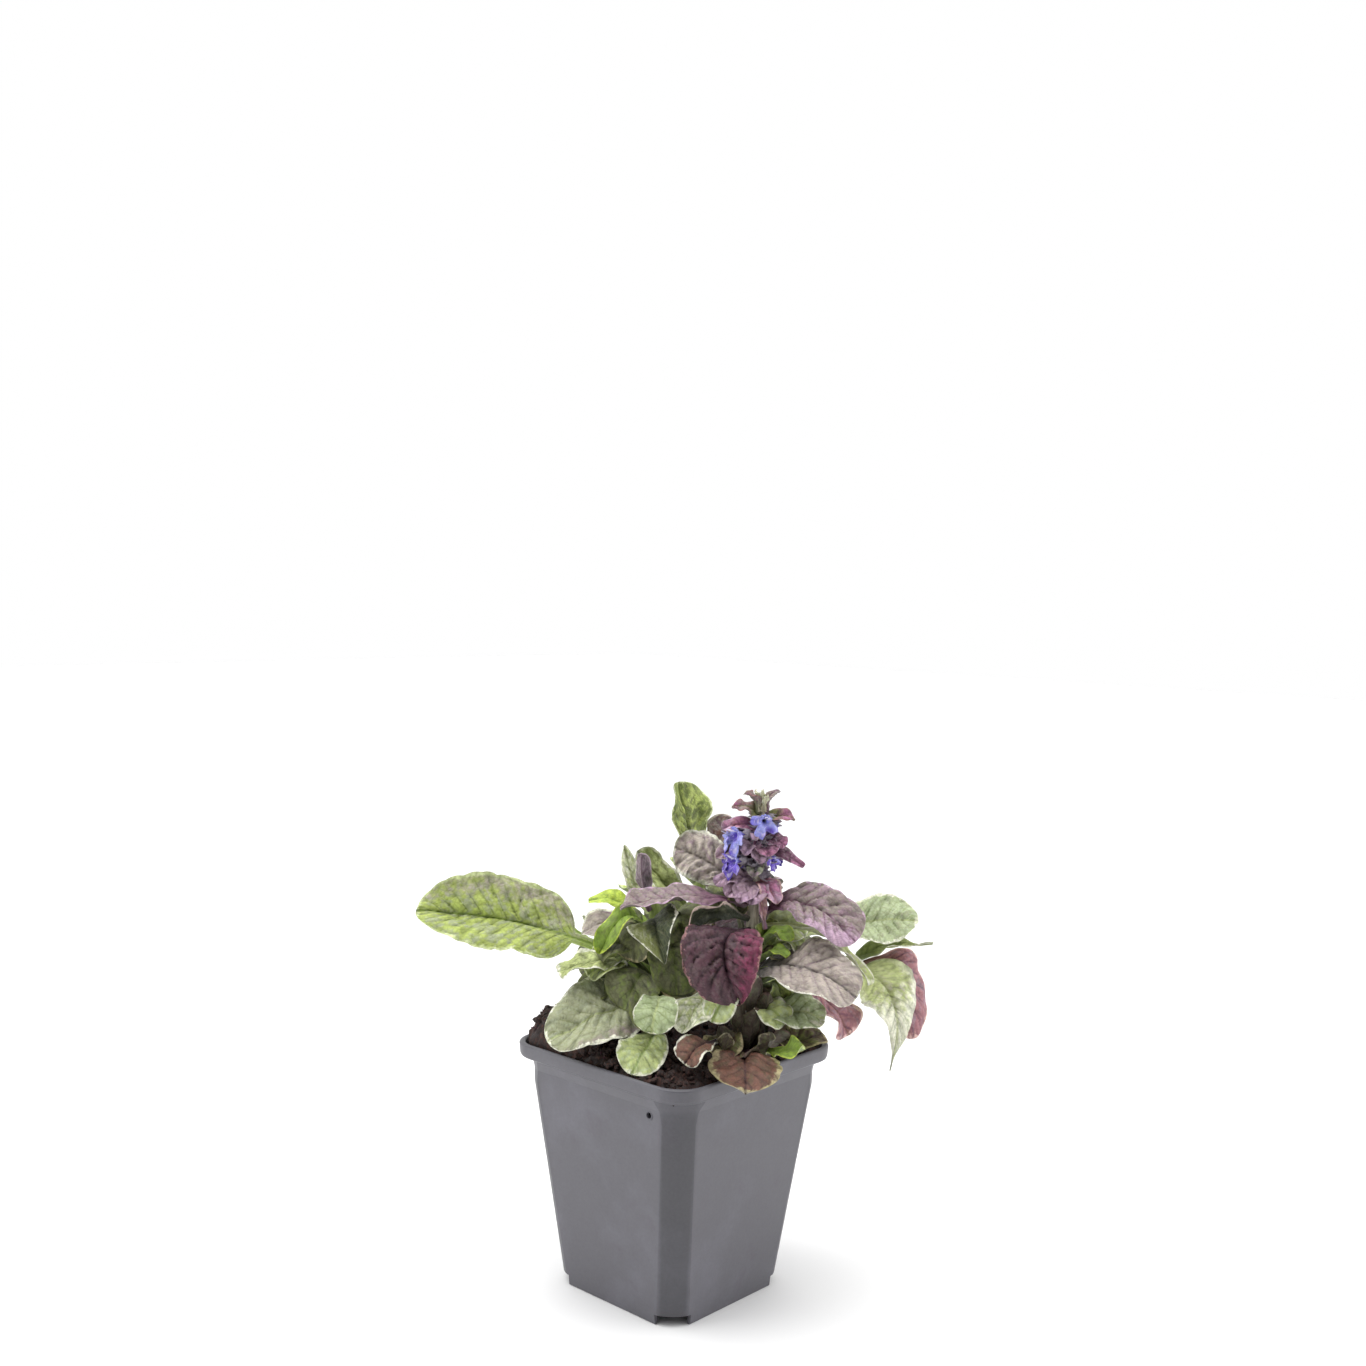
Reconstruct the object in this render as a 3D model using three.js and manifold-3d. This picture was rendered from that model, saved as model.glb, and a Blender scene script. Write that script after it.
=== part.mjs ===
// A bugleweed with burgundy-flushed, cream-edged leaves, growing in a square nursery pot.
// Millimetres, +Z up. The origin is on the floor, under the middle of the pot.
import * as THREE from 'three';
import { mergeVertices } from 'three/addons/utils/BufferGeometryUtils.js';
import Module from 'manifold-3d';

// Driving dimensions of the pot: a thin moulded square tub with blunt, slightly bulged corners.
const POT_HEIGHT = 93;
const RIM_HALF = 45;
const RIM_CORNER = 11;
const LIP_HEIGHT = 6;
const SHOULDER = POT_HEIGHT - LIP_HEIGHT;
const FOOT_HALF = 31.5;
const TAPER = 0.1138;
const FLARE_FOOT = 78;
const CORNER_LEG = 8.4;
const CORNER_TURN = THREE.MathUtils.degToRad(50);
const CORNER_STEPS = 5;
const WALL = 1.2;
const RIM_WALL = 1.8;
const FLOOR_UNDERSIDE = 4;
const FLOOR_TOP = FLOOR_UNDERSIDE + WALL;
const FOOT_NOTCH_HALF = 22.5;
const DRAIN_RADIUS = 2.6;
const DRAIN_RING = 17;
const DRAIN_COUNT = 8;

// Driving dimensions of the peat.
const CLEARANCE = 0.35;
const SOIL_FLOOR = FLOOR_TOP + CLEARANCE;
const SOIL_SPOKES = 44;
const SOIL_RINGS = 9;
const SOIL_AT_WALL = 91.7;
const SOIL_BANK = 8;

// The plant is written in a frame turned about the pot's axis: x to the right, y away, z up.
const PLANT_TURN = THREE.MathUtils.degToRad(42.6);

// Leaf blades.
const BLADE = 0.7;
const LEAF_ROWS = 9;
const SMALL_LEAF_ROWS = 7;
const SMALL_LEAF_WIDTH = 12.5;
const LEAF_ACROSS = [-1, -0.5, 0, 0.5, 1];
const STALK_HALF = 1.1;
const RIB_DEPTH = 0.9;
const SCALLOP = 0.05;
const SEAT_GAP = 0.6;

const POT_PLASTIC = { color: 0x77767c, roughness: 0.55, metalness: 0 };
const PEAT = { color: 0x2e1d19, roughness: 1, metalness: 0 };
const STEM = { color: 0x6f5a4e, roughness: 0.7, metalness: 0 };
const BRACT = { color: 0x96768f, roughness: 0.7, metalness: 0 };
const PETALS = { color: 0x5b53c4, roughness: 0.6, metalness: 0 };
const LEAF_TONES = {
  grey: 0x97a184, yellow: 0xa3b356, pale: 0xbccb9c, green: 0x4c5f33,
  mauve: 0x9a8092, wine: 0x5c2f43, pink: 0xa46f78, brown: 0x7a5246,
};

const wasm = await Module();
wasm.setup();

// Solids for cuts and joins.
function toSolid(geometry) {
  const plain = new THREE.BufferGeometry();
  plain.setAttribute('position', geometry.getAttribute('position'));
  if (geometry.index) plain.setIndex(geometry.index);
  const merged = mergeVertices(plain, 1e-5);
  return new wasm.Manifold(new wasm.Mesh({
    numProp: 3,
    vertProperties: new Float32Array(merged.attributes.position.array),
    triVerts: new Uint32Array(merged.index.array),
  }));
}

function fromSolid(solid) {
  const mesh = solid.getMesh();
  const geometry = new THREE.BufferGeometry();
  geometry.setAttribute('position', new THREE.BufferAttribute(mesh.vertProperties, 3));
  geometry.setIndex(new THREE.BufferAttribute(mesh.triVerts, 1));
  return geometry;
}

function meshFrom(points, triangles) {
  const geometry = new THREE.BufferGeometry();
  const places = points.flatMap((p) => [p.x, p.y, p.z]);
  geometry.setAttribute('position', new THREE.Float32BufferAttribute(places, 3));
  geometry.setIndex(triangles.flat());
  return geometry;
}

function named(name, geometry, finish) {
  const mesh = new THREE.Mesh(geometry, new THREE.MeshStandardMaterial(finish));
  mesh.name = name;
  return mesh;
}

// A closed loft: rings of equal length, bottom to top, anticlockwise from above, with flat ends.
function loft(rings) {
  const count = rings[0].length;
  const points = rings.flat();
  const triangles = [];
  rings.slice(1).forEach((_, level) => {
    for (let k = 0; k < count; k += 1) {
      const a = level * count + k;
      const b = level * count + (k + 1) % count;
      triangles.push([a, b, b + count], [a, b + count, a + count]);
    }
  });
  const last = (rings.length - 1) * count;
  for (let k = 1; k < count - 1; k += 1) {
    triangles.push([0, k + 1, k], [last, last + k, last + k + 1]);
  }
  return meshFrom(points, triangles);
}

// The pot. Each corner is an arc that leaves the flats at a crease; at the rim it is a full round.
function squareRing(half, leg, turn, z) {
  const radius = leg * Math.SQRT1_2 / Math.sin(turn / 2);
  const middle = half - leg / 2 - radius * Math.cos(turn / 2) * Math.SQRT1_2;
  const ring = [];
  for (let corner = 0; corner < 4; corner += 1) {
    const diagonal = Math.PI / 4 + corner * Math.PI / 2;
    const centre = new THREE.Vector2(middle, middle);
    centre.rotateAround(new THREE.Vector2(), corner * Math.PI / 2);
    for (let k = 0; k <= CORNER_STEPS; k += 1) {
      const angle = diagonal + turn * (k / CORNER_STEPS - 0.5);
      const place = new THREE.Vector2(Math.cos(angle), Math.sin(angle)).multiplyScalar(radius);
      ring.push(new THREE.Vector3(centre.x + place.x, centre.y + place.y, z));
    }
  }
  return ring;
}

// The wall's outer outline, level by level: a plain taper, then a flare that brings the flats out
// to the rim while the corners stay pressed in.
const bodyLevel = (z) => ({ z, half: FOOT_HALF + TAPER * z, leg: CORNER_LEG, turn: CORNER_TURN });
const FLARE = [
  bodyLevel(FLARE_FOOT),
  { z: 83, half: 41.4, leg: 9.8, turn: CORNER_TURN },
  { z: SHOULDER, half: 43.2, leg: 13, turn: CORNER_TURN },
];
const rimLevel = (z, half) => ({ z, half, leg: RIM_CORNER, turn: Math.PI / 2 });
const INNER_RIM = [
  rimLevel(SHOULDER + 2, RIM_HALF - RIM_WALL - 0.3),
  rimLevel(POT_HEIGHT + 1, RIM_HALF - RIM_WALL),
];

const outline = ({ z, half, leg, turn }, inset = 0) => squareRing(half - inset, leg, turn, z);

function buildPot() {
  const outside = loft([
    bodyLevel(0), ...FLARE, rimLevel(SHOULDER + 0.8, RIM_HALF - 1.2),
    rimLevel(POT_HEIGHT - 0.6, RIM_HALF), rimLevel(POT_HEIGHT, RIM_HALF - 0.5),
  ].map((level) => outline(level)));
  const inside = loft([
    outline(bodyLevel(FLOOR_TOP), WALL), ...FLARE.map((level) => outline(level, WALL)),
    ...INNER_RIM.map((level) => outline(level)),
  ]);
  const underside = loft([-1, FLOOR_UNDERSIDE].map((z) => outline(bodyLevel(z), WALL)));
  let pot = toSolid(outside).subtract(toSolid(inside)).subtract(toSolid(underside));
  const notch = new THREE.BoxGeometry(20, 20, 2 * FLOOR_UNDERSIDE);
  for (const [sx, sy] of [[1, 1], [-1, 1], [-1, -1], [1, -1]]) {
    const reach = FOOT_NOTCH_HALF + 10;
    pot = pot.subtract(toSolid(notch.clone().translate(sx * reach, sy * reach, 0)));
  }
  const drain = new THREE.CylinderGeometry(DRAIN_RADIUS, DRAIN_RADIUS, 4, 10).rotateX(Math.PI / 2);
  drain.translate(0, 0, (FLOOR_UNDERSIDE + FLOOR_TOP) / 2);
  pot = pot.subtract(toSolid(drain));
  for (let k = 0; k < DRAIN_COUNT; k += 1) {
    const angle = 2 * Math.PI * k / DRAIN_COUNT;
    const place = drain.clone().translate(DRAIN_RING * Math.cos(angle), DRAIN_RING * Math.sin(angle), 0);
    pot = pot.subtract(toSolid(place));
  }
  return named('pot', fromSolid(pot), POT_PLASTIC);
}

// Height of the peat: just under the rim at the wall, heaped inward, most behind and to the left.
function soilHeight(x, y) {
  const turned = new THREE.Vector2(x, y).rotateAround(new THREE.Vector2(), -PLANT_TURN);
  const inset = Math.max(0, RIM_HALF - RIM_WALL - Math.max(Math.abs(x), Math.abs(y)));
  const behind = Math.max(0, turned.y + 20) / 80;
  const leftward = Math.max(0, -turned.x) / 60;
  const heap = (3 + SOIL_BANK * (behind + leftward)) * (1 - Math.exp(-inset / 5));
  const lumpsAlongX = Math.sin(0.62 * x + 1.3 * Math.cos(0.41 * y));
  const lumpsAlongY = Math.cos(0.57 * y - 0.9 * Math.sin(0.37 * x));
  const crumbs = 1.1 * lumpsAlongX * lumpsAlongY;
  const fine = 0.7 * Math.sin(1.31 * x - 0.9 * y) * Math.cos(1.17 * y + 0.6 * x);
  return SOIL_AT_WALL + 2 * leftward + heap + crumbs + fine;
}

// The shoots: short leafy stems, each straight and slightly leaning, rooted in a hole in the peat.
class Shoot {
  constructor(name, foot, top, footRadius, topRadius) {
    Object.assign(this, { name, footRadius, topRadius });
    this.foot = new THREE.Vector3(...foot);
    this.top = new THREE.Vector3(...top);
  }

  share(z) {
    return (z - this.foot.z) / (this.top.z - this.foot.z);
  }

  at(z) {
    return this.foot.clone().lerp(this.top, this.share(z));
  }

  radius(z) {
    return THREE.MathUtils.lerp(this.footRadius, this.topRadius, this.share(z));
  }
}

const SHOOT_SIDES = 8;
const flowering = new Shoot('flower_stem', [24, -17, 82], [31, -8, 186], 2.4, 1.3);
const left = new Shoot('left_shoot', [-4, -6, 82], [-9, -2, 147], 2.6, 1.7);
const back = new Shoot('back_shoot', [6, 22, 82], [9, 18, 158], 2.4, 1.5);
const right = new Shoot('right_shoot', [33, 4, 82], [66, 0, 127], 2.2, 1.6);
const rear = new Shoot('rear_shoot', [-22, 26, 82], [-28, 30, 128], 2.2, 1.6);
const SHOOTS = [flowering, left, back, right, rear];

function ringAbout(centre, radius, sides = SHOOT_SIDES) {
  return Array.from({ length: sides }, (_, k) => {
    const angle = 2 * Math.PI * k / sides;
    const outward = new THREE.Vector3(Math.cos(angle), Math.sin(angle), 0);
    return centre.clone().addScaledVector(outward, radius);
  });
}

function shootGeometry(shoot) {
  const levels = 5;
  const rings = [];
  for (let k = 0; k <= levels; k += 1) {
    const z = THREE.MathUtils.lerp(shoot.foot.z, shoot.top.z, k / levels);
    rings.push(ringAbout(shoot.at(z), shoot.radius(z)));
  }
  rings.push(ringAbout(shoot.top.clone().add(new THREE.Vector3(0, 0, 0.8)), 0.6 * shoot.topRadius));
  return loft(rings);
}

function buildSoil() {
  const points = [];
  const triangles = [];
  const spokeEnd = (level, inset, spoke) => {
    const angle = 2 * Math.PI * spoke / SOIL_SPOKES;
    const direction = new THREE.Vector3(Math.cos(angle), Math.sin(angle), 0);
    const ray = new THREE.Ray(new THREE.Vector3(0, 0, level.z), direction);
    const ring = outline(level, inset);
    let reach = Infinity;
    ring.forEach((a, k) => {
      const b = ring[(k + 1) % ring.length];
      const edge = new THREE.Vector3().subVectors(b, a);
      const outward = new THREE.Vector3(edge.y, -edge.x, 0).normalize();
      const along = outward.dot(ray.direction);
      const flat = outward.dot(new THREE.Vector3(a.x, a.y, 0));
      if (along > 1e-6) reach = Math.min(reach, flat / along);
    });
    return ray.at(reach, new THREE.Vector3());
  };
  const sides = [bodyLevel(SOIL_FLOOR), ...FLARE];
  for (const level of sides) {
    for (let k = 0; k < SOIL_SPOKES; k += 1) points.push(spokeEnd(level, WALL + CLEARANCE, k));
  }
  for (let ring = SOIL_RINGS; ring > 0; ring -= 1) {
    for (let k = 0; k < SOIL_SPOKES; k += 1) {
      const place = spokeEnd(INNER_RIM[0], CLEARANCE, k).multiplyScalar(ring / SOIL_RINGS);
      points.push(place.setZ(soilHeight(place.x, place.y)));
    }
  }
  points.push(new THREE.Vector3(0, 0, soilHeight(0, 0)));
  const apex = points.length - 1;
  for (let level = 0; level < SOIL_RINGS + sides.length - 1; level += 1) {
    for (let k = 0; k < SOIL_SPOKES; k += 1) {
      const a = level * SOIL_SPOKES + k;
      const b = level * SOIL_SPOKES + (k + 1) % SOIL_SPOKES;
      triangles.push([a, b, b + SOIL_SPOKES], [a, b + SOIL_SPOKES, a + SOIL_SPOKES]);
    }
  }
  const innermost = (SOIL_RINGS + sides.length - 1) * SOIL_SPOKES;
  for (let k = 0; k < SOIL_SPOKES; k += 1) {
    triangles.push([innermost + k, innermost + (k + 1) % SOIL_SPOKES, apex]);
    if (k > 0 && k < SOIL_SPOKES - 1) triangles.push([0, k + 1, k]);
  }
  let soil = toSolid(meshFrom(points, triangles));
  for (const shoot of SHOOTS) {
    const bottom = shoot.at(shoot.foot.z - CLEARANCE);
    const above = shoot.at(shoot.foot.z + 40);
    const hole = loft([
      ringAbout(bottom, shoot.footRadius + CLEARANCE), ringAbout(above, shoot.footRadius + CLEARANCE),
    ]);
    hole.rotateZ(PLANT_TURN);
    soil = soil.subtract(toSolid(hole));
  }
  return named('soil', fromSolid(soil), PEAT);
}

// A thin closed sheet from its upper face and its thickness, split alike on both faces.
function sheet(upper, lower) {
  const rows = upper.length - 1;
  const across = upper[0].length - 1;
  const width = across + 1;
  const points = [...upper.flat(), ...lower.flat()];
  const under = (rows + 1) * width;
  const at = (i, j) => i * width + j;
  const triangles = [];
  for (let i = 0; i < rows; i += 1) {
    for (let j = 0; j < across; j += 1) {
      const [a, b, c, d] = [at(i, j), at(i + 1, j), at(i + 1, j + 1), at(i, j + 1)];
      const halves = j < across / 2 ? [[a, b, c], [a, c, d]] : [[a, b, d], [b, c, d]];
      for (const [p, q, r] of halves) triangles.push([p, q, r], [p + under, r + under, q + under]);
    }
  }
  const strip = (from, to) => {
    triangles.push([from + under, to + under, to], [from + under, to, from]);
  };
  for (let i = 0; i < rows; i += 1) {
    strip(at(i, 0), at(i + 1, 0));
    strip(at(i + 1, across), at(i, across));
  }
  for (let j = 0; j < across; j += 1) {
    strip(at(0, j + 1), at(0, j));
    strip(at(rows, j), at(rows, j + 1));
  }
  return meshFrom(points, triangles);
}

// The run of a midrib: a curve that leaves root, passes through mid and ends at tip, with the
// directions along it, across the blade and out of its upper face. Roll lifts the left side.
function ribFrame({ root, mid, tip, roll = 0, twist = 0 }) {
  const knee = mid.clone().multiplyScalar(2).addScaledVector(root, -0.5).addScaledVector(tip, -0.5);
  const curve = new THREE.QuadraticBezierCurve3(root, knee, tip);
  const heading = new THREE.Vector3().subVectors(tip, root).setZ(0).normalize();
  const level = new THREE.Vector3(-heading.y, heading.x, 0);
  return (u) => {
    const along = curve.getTangent(u);
    const side = level.clone().addScaledVector(along, -level.dot(along)).normalize();
    const face = new THREE.Vector3().crossVectors(along, side);
    const angle = THREE.MathUtils.degToRad(roll + twist * (u - 0.5));
    const across = side.clone().multiplyScalar(Math.cos(angle));
    across.addScaledVector(face, Math.sin(angle));
    const up = face.multiplyScalar(Math.cos(angle)).addScaledVector(side, -Math.sin(angle));
    return { centre: curve.getPoint(u), across, up };
  };
}

// Half the width of a spatulate blade: a winged stalk, then widest past the middle, round at the tip.
function halfWidth(u, { wide, stalk = 0.3, base = 1.15, point = 0.5, foot = STALK_HALF }) {
  const s = Math.max(0, (u - stalk) / (1 - stalk));
  const widest = base / (base + point);
  const peak = widest ** base * (1 - widest) ** point;
  const blade = s ** base * (1 - s) ** point / peak;
  return Math.max(0.45, Math.hypot(foot * (1 - s), 0.5 * wide * blade));
}

// One leaf: folded along its rib, waved at its margins, with a scalloped edge.
function leafGeometry(leaf, rows, columns = LEAF_ACROSS) {
  const { stalk = 0.3, fold = 12, wave = 1.2, waves = 2.4, phase = 0 } = leaf;
  const frame = ribFrame(leaf);
  const slope = THREE.MathUtils.degToRad(fold);
  const upper = [];
  const lower = [];
  for (let i = 0; i <= rows; i += 1) {
    const x = i / rows;
    const u = 1 - (1 - x) ** 1.3;
    const s = Math.max(0, (u - stalk) / (1 - stalk));
    const { centre, across, up } = frame(u);
    const scallop = 1 + (s > 0 ? SCALLOP * Math.cos(Math.PI * rows * x) : 0);
    const half = halfWidth(u, leaf) * scallop;
    const spread = Math.min(1, 3 * s);
    upper.push([]);
    lower.push([]);
    for (const v of columns) {
      const ripple = wave * spread * v * v * Math.sin(2 * Math.PI * waves * u + phase + (v < 0 ? 1.9 : 0));
      const lift = half * Math.abs(v) * Math.sin(slope) * spread + ripple;
      const point = centre.clone().addScaledVector(across, v * half * Math.cos(slope * spread));
      point.addScaledVector(up, lift);
      const rib = (RIB_DEPTH * (1 - u) + 0.5 * (1 - spread)) * (1 - Math.abs(v) * spread);
      upper[i].push(point);
      lower[i].push(point.clone().addScaledVector(up, -(BLADE / Math.cos(slope) + rib)));
    }
  }
  return sheet(upper, lower);
}

// Where a leaf stalk meets its shoot: just clear of the bark, on the side that the leaf heads for.
function seat(shoot, z, toward) {
  const axis = shoot.at(z);
  const outward = toward.clone().sub(axis).setZ(0).normalize();
  return axis.addScaledVector(outward, shoot.radius(z) + SEAT_GAP);
}

// The leaves, shoot by shoot. z is the height of the joint on the shoot, mid the point halfway
// along the rib, tip its end; wide is the blade's width; roll, fold and twist are in degrees.
const LEAVES = [
  { name: 'big_left_leaf', on: left, z: 120, mid: [-50, -3, 135.6], tip: [-99, -3, 141.5],
    wide: 34, roll: -52, twist: -8, fold: 28, stalk: 0.38, base: 0.44, wave: 1.6, tone: 'yellow' },
  { name: 'wavy_left_leaf', on: left, z: 116, mid: [-25, -13, 126], tip: [-44, -15, 122],
    wide: 15, roll: -12, fold: 10, stalk: 0.15, wave: 1.6, tone: 'pale' },
  { name: 'bright_arched_leaf', on: left, z: 127, mid: [-17, -12, 144], tip: [-29, -17, 130],
    wide: 10, roll: -35, fold: 26, tone: 'yellow' },
  { name: 'small_mauve_leaf', on: left, z: 130, mid: [-21, 6, 137], tip: [-37, 7, 132],
    wide: 12, roll: -50, fold: 10, tone: 'mauve' },
  { name: 'yellow_tip_leaf', on: left, z: 136, mid: [-20, 13, 142], tip: [-35, 16, 144],
    wide: 9, roll: -25, fold: 15, tone: 'yellow' },
  { name: 'upright_pale_leaf', on: left, z: 142, mid: [-16, 3, 151], tip: [-21, 6, 167],
    wide: 10, roll: -40, fold: 36, stalk: 0.1, point: 0.9, tone: 'pale' },
  { name: 'folded_mauve_leaf', on: left, z: 144, mid: [-13, -6, 153], tip: [-14, -5, 166],
    wide: 9, roll: 60, fold: 45, stalk: 0.1, tone: 'mauve' },
  { name: 'big_lower_left_leaf', on: left, z: 104, mid: [-20, -20, 110.7], tip: [-46, -31, 100.5],
    wide: 30, roll: -28, fold: 10, stalk: 0.1, base: 0.8, tone: 'grey' },
  { name: 'pale_round_leaf', on: left, z: 110, mid: [-6, -33, 118], tip: [-8.5, -43, 108],
    wide: 16, roll: 0, fold: 6, stalk: 0.3, tone: 'pale' },
  { name: 'near_left_leaf', on: left, z: 99.5, mid: [-8, -30, 103], tip: [-15, -45, 94],
    wide: 18, roll: -12, fold: 10, stalk: 0.35, base: 1.0, tone: 'yellow' },
  { name: 'inner_left_leaf', on: left, z: 124, mid: [-18, -13, 132.5], tip: [-30, -13, 129.5],
    wide: 14, roll: -25, fold: 12, tone: 'green' },
  { name: 'inner_low_left_leaf', on: left, z: 113, mid: [-22, 3, 123], tip: [-38, 8, 119],
    wide: 19, roll: -45, fold: 12, tone: 'green' },
  { name: 'inner_near_leaf', on: left, z: 127, mid: [-2, -17, 133], tip: [0, -25, 117],
    wide: 22, roll: 0, fold: 12, stalk: 0.2, tone: 'green' },
  { name: 'shaded_hanging_leaf', on: left, z: 136, mid: [-8.4, -22, 144], tip: [-4.5, -30, 129.5],
    wide: 20, roll: 30, fold: 20, base: 0.7, point: 1.1, tone: 'grey' },
  { name: 'tall_olive_leaf', on: back, z: 138, mid: [-2, 14, 147.5], tip: [-16, 12, 164],
    wide: 14, roll: -60, fold: 15, stalk: 0.15, tone: 'green' },
  { name: 'top_leaf', on: back, z: 150, mid: [3, 22, 166], tip: [-0.5, 25, 189.5],
    wide: 25, roll: 0, fold: 20, stalk: 0.15, point: 0.42, tone: 'yellow' },
  { name: 'behind_spike_leaf', on: back, z: 148, mid: [15, 18, 164], tip: [20, 16, 177],
    wide: 15, roll: 60, fold: 15, tone: 'grey' },
  { name: 'crinkled_mauve_leaf', on: flowering, z: 152, mid: [12, 0, 161.5], tip: [-2, 4, 166.5],
    wide: 20, roll: -60, fold: 12, stalk: 0.1, base: 0.8, wave: 1.6, tone: 'mauve' },
  { name: 'long_purple_leaf', on: flowering, z: 149, mid: [0, -20, 153], tip: [-21, -26, 149],
    wide: 15, roll: -14, fold: 8, stalk: 0.1, base: 0.7, tone: 'mauve' },
  { name: 'dark_green_leaf', on: flowering, z: 144, mid: [14, -24, 147], tip: [3.5, -31, 142],
    wide: 16, roll: 45, fold: 8, stalk: 0.1, tone: 'green' },
  { name: 'big_burgundy_leaf', on: flowering, z: 140.5, mid: [17, -37, 138], tip: [23, -40, 118],
    wide: 32, roll: 0, fold: 24, stalk: 0.12, point: 0.85, base: 0.95, tone: 'wine' },
  { name: 'quilted_purple_leaf', on: flowering, z: 144.5, mid: [46, -16, 150.5], tip: [65, -24, 138],
    wide: 24, roll: 32, fold: 10, stalk: 0.08, tone: 'mauve' },
  { name: 'inner_right_leaf', on: flowering, z: 134, mid: [38, -12, 141], tip: [48, -14, 138],
    wide: 18, roll: 35, fold: 12, stalk: 0.15, tone: 'yellow' },
  { name: 'inner_low_right_leaf', on: flowering, z: 126, mid: [40, 2, 130], tip: [54, 8, 124],
    wide: 22, roll: 40, fold: 12, tone: 'green' },
  { name: 'crinkled_grey_leaf', on: flowering, z: 124, mid: [44, -28, 129.5], tip: [65, -36, 121],
    wide: 28, roll: 26, fold: 10, stalk: 0.05, base: 0.8, tone: 'mauve' },
  { name: 'frilly_pink_leaf', on: flowering, z: 114, mid: [50, -12, 116.5], tip: [65.5, -14, 101],
    wide: 22, roll: 25, fold: 10, wave: 2, waves: 3.2, base: 0.6, point: 0.3, tone: 'pink' },
  { name: 'pale_low_leaf', on: flowering, z: 109, mid: [40, -29, 114], tip: [54, -32, 111.5],
    wide: 19, roll: 26, fold: 10, stalk: 0.1, base: 0.8, tone: 'pale' },
  { name: 'brown_olive_leaf', on: flowering, z: 103, mid: [41, -29, 103], tip: [54, -27, 105],
    wide: 15, roll: 30, fold: 10, tone: 'brown' },
  { name: 'bright_small_leaf', on: flowering, z: 100.3, mid: [36, -37, 101], tip: [45.5, -44, 105.5],
    wide: 11, roll: 35, fold: 8, stalk: 0.4, tone: 'yellow' },
  { name: 'leaf_over_rim', on: flowering, z: 97.5, mid: [25, -38, 99.5], tip: [25, -56, 92],
    wide: 25, roll: 0, fold: 6, stalk: 0.3, base: 0.85, tone: 'brown' },
  { name: 'light_near_leaf', on: flowering, z: 112, mid: [11, -31, 117.5], tip: [2.5, -40, 107.5],
    wide: 18, roll: 0, fold: 10, stalk: 0.2, tone: 'pale' },
  { name: 'brown_spoon_leaf', on: flowering, z: 101, mid: [12, -40, 104], tip: [3.5, -50, 99.5],
    wide: 15, roll: -8, fold: 24, stalk: 0.4, tone: 'brown' },
  { name: 'small_upright_leaf', on: flowering, z: 105.5, mid: [22, -27, 108], tip: [22.5, -30, 116],
    wide: 8, roll: 0, fold: 12, tone: 'pale' },
  { name: 'slender_right_leaf', on: flowering, z: 141, mid: [52, -17, 141], tip: [68, -18, 123],
    wide: 6, roll: 20, fold: 12, stalk: 0.2, tone: 'pale' },
  { name: 'far_right_leaf', on: flowering, z: 131, mid: [62, 3, 138.3], tip: [92, 2, 140.6],
    wide: 21, roll: 48, fold: 10, stalk: 0.3, point: 0.55, tone: 'pale' },
  { name: 'slender_tip_leaf', on: right, z: 126.5, mid: [81, 1, 131.6], tip: [98, 2, 133],
    wide: 6, roll: 30, fold: 10, stalk: 0.03, base: 0.3, point: 1.2, tone: 'yellow' },
  { name: 'pink_hanging_leaf', on: right, z: 119, mid: [86, 5, 124], tip: [90, 2.5, 95],
    wide: 19, roll: 38, fold: 12, stalk: 0.25, tone: 'pink' },
  { name: 'pale_hanging_leaf', on: right, z: 123, mid: [81, -9, 114], tip: [80.5, -14, 87.5],
    wide: 24, roll: 32, fold: 10, stalk: 0.1, base: 0.8, point: 2.3, tone: 'pale' },
  { name: 'right_back_leaf', on: right, z: 110, mid: [54, 24, 120], tip: [55, 42, 110],
    wide: 22, fold: 14, tone: 'grey' },
  { name: 'right_low_leaf', on: right, z: 102, mid: [54, 20, 104], tip: [64, 30, 96],
    wide: 18, fold: 12, tone: 'wine' },
  { name: 'back_upper_leaf', on: back, z: 142, mid: [8, 34, 149], tip: [9, 48, 152],
    wide: 24, fold: 18, tone: 'green' },
  { name: 'back_right_leaf', on: back, z: 138, mid: [26, 38, 150], tip: [36, 50, 142],
    wide: 21, fold: 14, tone: 'mauve' },
  { name: 'back_left_leaf', on: back, z: 128, mid: [-8, 44, 141], tip: [-13, 61, 136],
    wide: 26, fold: 14, tone: 'grey' },
  { name: 'back_middle_leaf', on: back, z: 120, mid: [20, 48, 131], tip: [24, 68, 119],
    wide: 32, fold: 12, tone: 'wine' },
  { name: 'back_low_right_leaf', on: back, z: 104, mid: [30, 41, 110], tip: [37, 54, 99],
    wide: 30, fold: 12, tone: 'pale' },
  { name: 'back_low_leaf', on: back, z: 110, mid: [0, 45, 114], tip: [-3, 63, 102],
    wide: 24, fold: 12, tone: 'mauve' },
  { name: 'rear_upper_leaf', on: rear, z: 124, mid: [-28, 50, 128], tip: [-28, 66, 116],
    wide: 23, fold: 12, tone: 'green' },
  { name: 'rear_left_leaf', on: rear, z: 119, mid: [-46, 34, 128], tip: [-59, 38, 117],
    wide: 22, roll: -10, fold: 12, tone: 'grey' },
  { name: 'rear_low_left_leaf', on: rear, z: 105, mid: [-28, 44, 109], tip: [-28, 56, 99],
    wide: 22, roll: -10, fold: 12, tone: 'wine' },
  { name: 'rear_low_leaf', on: rear, z: 103, mid: [-14, 36, 108], tip: [-9, 47, 101.5],
    wide: 18, fold: 12, tone: 'pale' },
];

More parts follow.
